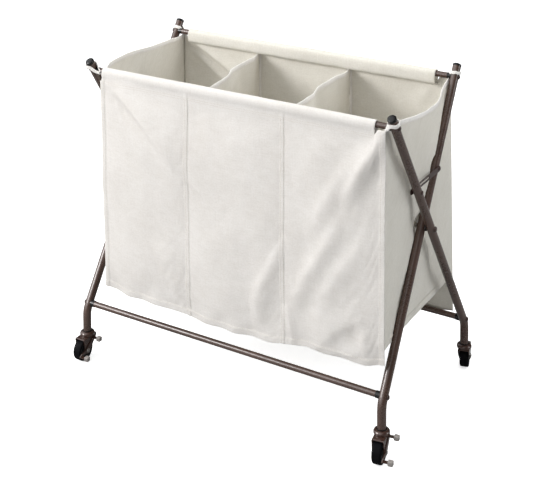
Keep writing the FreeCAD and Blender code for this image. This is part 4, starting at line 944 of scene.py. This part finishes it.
# the floor of the bag, sagging a little in each compartment
yy = np.linspace(-0.1875, 0.1915, 66)
share = np.linspace(0, 1, 124)
i_floor = n_low + 2
wall_r, wall_l = U[i_floor, :N_SIDE], U[i_floor, N_SIDE + len(XR0):][::-1]
xr = np.interp(yy, wall_r[:, 1], wall_r[:, 0])
xl = np.interp(yy, wall_l[:, 1], wall_l[:, 0])
FL = np.zeros((len(yy), len(share), 3))
for k, y in enumerate(yy):
    x = xl[k] + 0.0008 + (xr[k] - xl[k] - 0.0016) * share
    cell = np.interp(x, [-0.36, -0.24, -0.125, 0.0, 0.12, 0.24, 0.37], [0, 1, 0, 1, 0, 1, 0])
    z = 0.2335 - 0.0065 * smooth(cell) * math.sin(math.pi * min(1, max(0, (y + 0.19) / 0.38))) ** 0.6
    z = z + 0.0009 * noise(x, np.full_like(x, y), 0.05, 95) + 0.0003 * noise(x, np.full_like(x, y), 0.015, 96)
    FL[k] = np.stack([x, np.full_like(x, y), z], axis=1)
bag_floor = make_object("bag_floor_cloth", FL.reshape(-1, 3), grid_faces(np.ones((len(yy) - 1, len(share) - 1), bool)), lay(FL).reshape(-1, 2))
solidify(bag_floor)

# ------------------------------------------------------------------ stitching

j_of = lambda x: np.interp(x, X0, np.arange(len(X0)))
front_lines = []
for s in (SEAM_1, SEAM_2):
    for d in (-0.0034, 0.0034):
        i = np.linspace(1, rows_main - 1.2, 260)
        j = np.full_like(i, float(j_of(s + d)))
        front_lines.append((sample(F, i, j) + sample(F_n, i, j) * 0.0001, sample(F_n, i, j)))
for x_edge in (LEFT_TOP + 0.0100, RIGHT_TOP - 0.0100):
    i = np.linspace(1, rows_main - 1.2, 260)
    j = np.full_like(i, float(j_of(x_edge)))
    front_lines.append((sample(F, i, j) + sample(F_n, i, j) * 0.0001, sample(F_n, i, j)))
for back in (0.6, 1.5):
    j = np.linspace(J_START + 0.5, J_END - 0.5, 360)
    i = np.full_like(j, rows_main - 1 - back)
    front_lines.append((sample(F, i, j) + sample(F_n, i, j) * 0.0001, sample(F_n, i, j)))
j = np.linspace(1, len(X0) - 2, 360)
hem_i = np.array([np.interp(front_hem(X0[int(k)]) + 0.0125, F[:rows_main, int(k), 2], np.arange(rows_main)) for k in j])
front_lines.append((sample(F, hem_i, j) + sample(F_n, hem_i, j) * 0.0001, sample(F_n, hem_i, j)))
front_stitches = join_parts("stitches_front", stitches(front_lines))

shell_lines = []
for c0, c1 in ((1, N_SIDE - 2), (N_SIDE + len(XR0) + 2, cols - 2)):
    for above in (0.0105, 0.0125):
        j = np.linspace(c0, c1, 260)
        i = np.array([np.interp(HEM_Z + above, U[n_low:n_low + n_high, int(k), 2], n_low + np.arange(n_high)) for k in j])
        shell_lines.append((sample(U, i, j) + sample(U_n, i, j) * 0.0001, sample(U_n, i, j)))
    j = np.linspace(c0, c1, 260)
    top = U[top_row]
    i = np.array([np.interp(top[int(k), 2] - 0.0074, U[n_low:n_low + n_high, int(k), 2], n_low + np.arange(n_high)) for k in j])
    shell_lines.append((sample(U, i, j) + sample(U_n, i, j) * 0.0008, sample(U_n, i, j)))
    shell_lines.append((sample(U, i, j) - sample(U_n, i, j) * 0.0019, -sample(U_n, i, j)))
# the back sleeve's stitching, seen from inside the bag
j = np.linspace(N_SIDE + JR + 1, N_SIDE + JL - 1, 360)
i = np.full_like(j, float(len(U) - 2.0))
shell_lines.append((sample(U, i, j) + sample(U_n, i, j) * 0.0001, sample(U_n, i, j)))
for back in (0.6, 1.5):
    i = np.full_like(j, top_row - back)
    shell_lines.append((sample(U, i, j) + sample(U_n, i, j) * 0.0001, sample(U_n, i, j)))
shell_stitches = join_parts("stitches_shell", stitches(shell_lines) + stitches(stitch_rows_in))

# ------------------------------------------------------------------ corner ties: cotton tape round each post, sewn to the bag's corner

UP_A = np.array([0, math.sin(LEAN), math.cos(LEAN)])
UP_B = np.array([0, -math.sin(LEAN), math.cos(LEAN)])


def tie(post_x, post_y, lean, corner, down=0.0125, seed=0, width=0.0080, slack=0.0026):
    """A flat tape that leaves the bag's corner, goes once round the post under its cap and comes back."""
    centre = np.array([post_x, post_y, POST_TOP]) - lean * down
    up = unit(lean * 0.45 + np.array([0, 0, 0.55]))
    to = np.array(corner) - centre
    flat = to - up * (to @ up)
    e1 = flat / np.linalg.norm(flat)
    e2 = np.cross(up, e1)
    r = 0.0095 + slack
    dist = np.linalg.norm(flat)
    phi = math.acos(min(0.96, r / dist))
    arc = np.linspace(phi, 2 * math.pi - phi, 52)
    pts, sides = [], []
    end = np.array(corner)

    def at(w):
        out = math.cos(w) * e1 + math.sin(w) * e2
        return centre + r * (1 + 0.05 * math.sin(3 * w + seed)) * out + up * (0.0006 * math.sin(5 * w + seed))

    a0, a1 = at(arc[0]), at(arc[-1])
    for t in np.linspace(0, 1, 16)[:-1]:
        p = end + (a0 - end) * t
        pts.append(p + up * (-0.0012 * math.sin(math.pi * t)) + e2 * 0.0014 * (1 - t))
        sides.append(math.sin(phi) * e2 + math.cos(phi) * e1)
    for w in arc:
        pts.append(at(w))
        sides.append(math.cos(w) * e1 + math.sin(w) * e2)
    for t in np.linspace(0, 1, 16)[1:]:
        p = a1 + (end - a1) * t
        pts.append(p + up * (-0.0020 * math.sin(math.pi * t)) - e2 * 0.0014 * t)
        sides.append(-math.sin(phi) * e2 + math.cos(phi) * e1)
    pts = np.array(pts)
    ahead = unit(np.gradient(pts, axis=0))
    across = unit(np.array([up] * len(pts)) - ahead * (ahead @ up)[:, None])
    out = np.cross(ahead, across)
    flip = np.sign(np.sum(out * np.array(sides), axis=1))
    out = out * np.where(flip == 0, 1, flip)[:, None]
    k = np.arange(len(pts))
    narrow = 1 - 0.30 * np.exp(-(k / 5.0) ** 2) - 0.30 * np.exp(-((len(pts) - 1 - k) / 5.0) ** 2)
    w2, g = width / 2, 0.0009
    sec = np.array([(-g, -w2), (g * 0.6, -w2), (g * 1.5, -w2 * 0.8), (g * 1.7, -w2 * 0.4), (g * 1.1, 0.0), (g * 1.7, w2 * 0.4), (g * 1.5, w2 * 0.8), (g * 0.6, w2), (-g, w2), (-g * 0.7, w2 * 0.5), (-g, 0), (-g * 0.7, -w2 * 0.5)])
    v, f, u = sweep("x", pts, sec, (out, across * narrow[:, None]))
    return v, f, u


def knot(centre, axis, size, seed):
    """A small bunched knot: a thick trefoil of tape."""
    axis = np.array(axis, float) / np.linalg.norm(axis)
    other = np.cross(axis, [0.3, 0.5, 0.81])
    other /= np.linalg.norm(other)
    third = np.cross(axis, other)
    t = np.linspace(0, 2 * math.pi, 61)[:-1] + seed
    a = (np.sin(t) + 2 * np.sin(2 * t)) / 3 * size
    b = (np.cos(t) - 2 * np.cos(2 * t)) / 3 * size
    c = -np.sin(3 * t) / 2 * size
    pts = np.array(centre) + a[:, None] * other + b[:, None] * third + c[:, None] * axis * 0.8
    ahead = unit(np.roll(pts, -1, axis=0) - np.roll(pts, 1, axis=0))
    radial = pts - np.array(centre)
    up = unit(radial - ahead * np.sum(radial * ahead, axis=1, keepdims=True))
    side = np.cross(ahead, up)
    k = np.arange(8) / 8 * 2 * math.pi
    sec = np.stack([np.cos(k) * size * 0.42, np.sin(k) * size * 0.26], axis=1)
    return sweep("x", pts, sec, (side, up), closed=True)


POST_TOP = 0.704
ties_front = join_parts("corner_ties_front", [
    tie(0.391, -0.194, UP_B, (0.3765, -0.1905, 0.6805), down=0.0112, seed=1),
    knot((0.3775, -0.1912, 0.6800), (1, 0, 0.2), 0.0032, 0.4),
    tie(-0.369, -0.194, UP_B, (-0.3450, -0.1900, 0.6825), down=0.0098, seed=2),
    knot((-0.3455, -0.1908, 0.6820), (1, 0, 0.2), 0.0034, 1.1),
])
ties_rear = join_parts("corner_ties_rear", [
    tie(0.369, 0.194, UP_A, (0.3370, 0.1895, 0.6760), down=0.0145, seed=3, width=0.0066, slack=0.0014),
    knot((0.3385, 0.1890, 0.6760), (1, 0, 0.2), 0.0028, 2.0),
    tie(-0.391, 0.194, UP_A, (-0.3725, 0.1880, 0.6840), down=0.0145, seed=4, width=0.0074, slack=0.0020),
    knot((-0.3735, 0.1880, 0.6835), (1, 0, 0.2), 0.0030, 2.6),
])


def set_down(obj):
    co = np.zeros(len(obj.data.vertices) * 3)
    obj.data.vertices.foreach_get("co", co)
    co = co.reshape(-1, 3)
    co[:, 2] -= DATUM + SET_DOWN * smooth((co[:, 2] - 0.60) / 0.08) * smooth((np.abs(co[:, 1]) - 0.11) / 0.058)
    obj.data.vertices.foreach_set("co", co.ravel())
    obj.data.update()


for o in [bag_front, bag_shell, rear_sleeve, bag_rims, bag_bindings, bag_floor, front_stitches, shell_stitches] + divider_objs:
    set_down(o)

# ------------------------------------------------------------------ what each piece rides on, and where the bag's hanging point goes at the fold's limit

dress(bag_front, CANVAS, "frame_a")
dress(bag_shell, CANVAS_SHADED_INSIDE, "frame_a")
dress(rear_sleeve, CANVAS_SHADED_INSIDE, "frame_a")
dress(bag_rims, CANVAS_EDGE, "frame_a")
dress(bag_bindings, CANVAS_EDGE, "frame_a")
dress(bag_floor, CANVAS_SHADED_INSIDE, "frame_a")
for o in divider_objs:
    dress(o, CANVAS_SHADED_INSIDE, "frame_a")
dress(front_stitches, THREAD, "frame_a")
dress(shell_stitches, THREAD, "frame_a")
dress(ties_front, TAPE, "frame_b")
dress(ties_rear, TAPE, "frame_a")

fold = [j for j in frame["joints"] if j["name"] == "fold"][0]
limit = math.radians(max(abs(x) for x in fold["range_deg"]))
hang = np.array([-0.18091, 0.684 - 0.40767])
turned = np.array([hang[0] * math.cos(limit) + hang[1] * math.sin(limit), -hang[0] * math.sin(limit) + hang[1] * math.cos(limit)])
shift = turned - hang
for o in (bag_front, front_stitches):
    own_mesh(o)
for o in [bag_shell, bag_rims, bag_bindings, bag_floor, shell_stitches] + divider_objs:
    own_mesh(o)

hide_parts("bag_front_panel", "bag_front_sleeve")
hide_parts("bag_rear_panel", "bag_side_left", "bag_side_right")
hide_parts("bag_divider_left")
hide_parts("bag_divider_right")
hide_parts("bag_floor")
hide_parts("corner_loops_front")
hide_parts("corner_loops_rear")

# ------------------------------------------------------------------ stage, light and camera

n = Nodes("pale_floor")
g = n.noise(n.coords.outputs["Object"], 3.0, 4.0, 0.5)
fine = n.noise(n.coords.outputs["Object"], 160.0, 2.0, 0.5)
n.set(color=n.mix(n.map_range(g, 0.3, 0.7, 0, 1), (0.90, 0.90, 0.90), (0.93, 0.93, 0.93)), rough=n.map_range(fine, 0.3, 0.7, 0.55, 0.7), spec=0.15,
      emit=(1.0, 1.0, 1.0), emit_strength=0.50)
n.bump(fine, 0.05, 0.0005)
eye = n.tree.nodes.new("ShaderNodeLightPath")
n.link(n.math("MULTIPLY", eye.outputs["Is Camera Ray"], 0.62), n.bsdf.inputs["Emission Strength"])
n.link(n.mix(eye.outputs["Is Camera Ray"], (0.32, 0.32, 0.32), (0.92, 0.92, 0.92)), n.bsdf.inputs["Base Color"])
floor_verts = np.array([(-14, -14, -0.0004), (14, -14, -0.0004), (14, 14, -0.0004), (-14, 14, -0.0004)])
floor = make_object("studio_floor", floor_verts, [[0, 1, 2, 3]], smooth_faces=False)
floor.data.materials.append(n.mat)

world = bpy.data.worlds.new("studio")
SCENE.world = world
world.use_nodes = True
wt = world.node_tree
wt.nodes.clear()
w_out = wt.nodes.new("ShaderNodeOutputWorld")
seen, ambient = wt.nodes.new("ShaderNodeBackground"), wt.nodes.new("ShaderNodeBackground")
seen.inputs[0].default_value, seen.inputs[1].default_value = (1, 1, 1, 1), 1.0
ambient.inputs[0].default_value = (0.96, 0.98, 1.0, 1)
facing = wt.nodes.new("ShaderNodeTexCoord")
dot = wt.nodes.new("ShaderNodeVectorMath")
dot.operation = "DOT_PRODUCT"
dot.inputs[1].default_value = (-0.50, -0.42, 0.76)
wt.links.new(facing.outputs["Generated"], dot.inputs[0])
level = wt.nodes.new("ShaderNodeMapRange")
for slot_no, amount in enumerate((-0.6, 0.9, 0.23, 0.85)):
    level.inputs[slot_no + 1].default_value = amount
wt.links.new(dot.outputs["Value"], level.inputs[0])
mirrored = wt.nodes.new("ShaderNodeVectorMath")
mirrored.operation = "DOT_PRODUCT"
mirrored.inputs[1].default_value = (-0.62, -0.52, 0.59)
wt.links.new(facing.outputs["Generated"], mirrored.inputs[0])
band = wt.nodes.new("ShaderNodeMapRange")
band.interpolation_type = "SMOOTHSTEP"
for slot_no, amount in enumerate((0.30, 0.92, 0.06, 2.1)):
    band.inputs[slot_no + 1].default_value = amount
wt.links.new(mirrored.outputs["Value"], band.inputs[0])
bounce = wt.nodes.new("ShaderNodeLightPath")
pick = wt.nodes.new("ShaderNodeMix")
pick.data_type = "FLOAT"
wt.links.new(bounce.outputs["Is Glossy Ray"], pick.inputs[0])
wt.links.new(level.outputs[0], pick.inputs[2])
wt.links.new(band.outputs[0], pick.inputs[3])
wt.links.new(pick.outputs[0], ambient.inputs[1])
path_node, mixer = wt.nodes.new("ShaderNodeLightPath"), wt.nodes.new("ShaderNodeMixShader")
wt.links.new(path_node.outputs["Is Camera Ray"], mixer.inputs[0])
wt.links.new(ambient.outputs[0], mixer.inputs[1])
wt.links.new(seen.outputs[0], mixer.inputs[2])
wt.links.new(mixer.outputs[0], w_out.inputs[0])


def area(name, place, target, size, power, color=(1, 1, 1)):
    data = bpy.data.lights.new(name, "AREA")
    data.shape = "RECTANGLE"
    data.size, data.size_y = size
    data.energy = power
    data.color = color
    obj = bpy.data.objects.new(name, data)
    SCENE.collection.objects.link(obj)
    obj.location = place
    obj.rotation_mode = "QUATERNION"
    obj.rotation_quaternion = (Vector(target) - Vector(place)).to_track_quat("-Z", "Y")
    return obj


key = area("key_light", (-2.05, -2.35, 2.0), (0.0, -0.1, 0.45), (1.3, 1.1), 92, (1.0, 0.988, 0.982))
top = area("top_light", (0.3, 0.2, 3.0), (0, 0, 0.4), (2.2, 2.2), 30, (1.0, 0.98, 0.93))
top.visible_glossy = False
rim = area("side_light", (2.6, 0.9, 1.5), (0.2, 0.0, 0.4), (1.2, 1.4), 27.0, (0.96, 0.98, 1.0))

cam_data = bpy.data.cameras.new("photo_camera")
cam = bpy.data.objects.new("photo_camera", cam_data)
SCENE.collection.objects.link(cam)
SCENE.camera = cam
fwd = np.array([-0.50875, 0.85753, -0.07625])
fwd /= np.linalg.norm(fwd)
right = np.cross(fwd, [0, 0, 1.0])
right /= np.linalg.norm(right)
up = np.cross(right, fwd)
roll = math.radians(-0.295)
rx = math.cos(roll) * right + math.sin(roll) * up
uy = -math.sin(roll) * right + math.cos(roll) * up
m = Matrix([[rx[0], uy[0], -fwd[0], 1.39242], [rx[1], uy[1], -fwd[1], -2.33234], [rx[2], uy[2], -fwd[2], 1.55872 - DATUM], [0, 0, 0, 1]])
cam.matrix_world = m
cam_data.sensor_width = 36.0
cam_data.lens = 1221.05 / 548 * 36.0
cam_data.clip_start, cam_data.clip_end = 0.05, 60
# the photograph looks level with the picture plane slid down; a camera that is moved elsewhere looks straight
driver = cam_data.driver_add("shift_y").driver
driver.type = "SCRIPTED"
var = driver.variables.new()
var.name = "height"
var.type = "TRANSFORMS"
var.targets[0].id = cam
var.targets[0].transform_type = "LOC_Z"
var.targets[0].transform_space = "WORLD_SPACE"
driver.expression = "-0.83575 if abs(height - 1.54772) < 0.0001 else 0.0"

SCENE.view_settings.view_transform = "Standard"
SCENE.view_settings.look = "None"
SCENE.view_settings.exposure = 0.0
SCENE.view_settings.gamma = 1.0
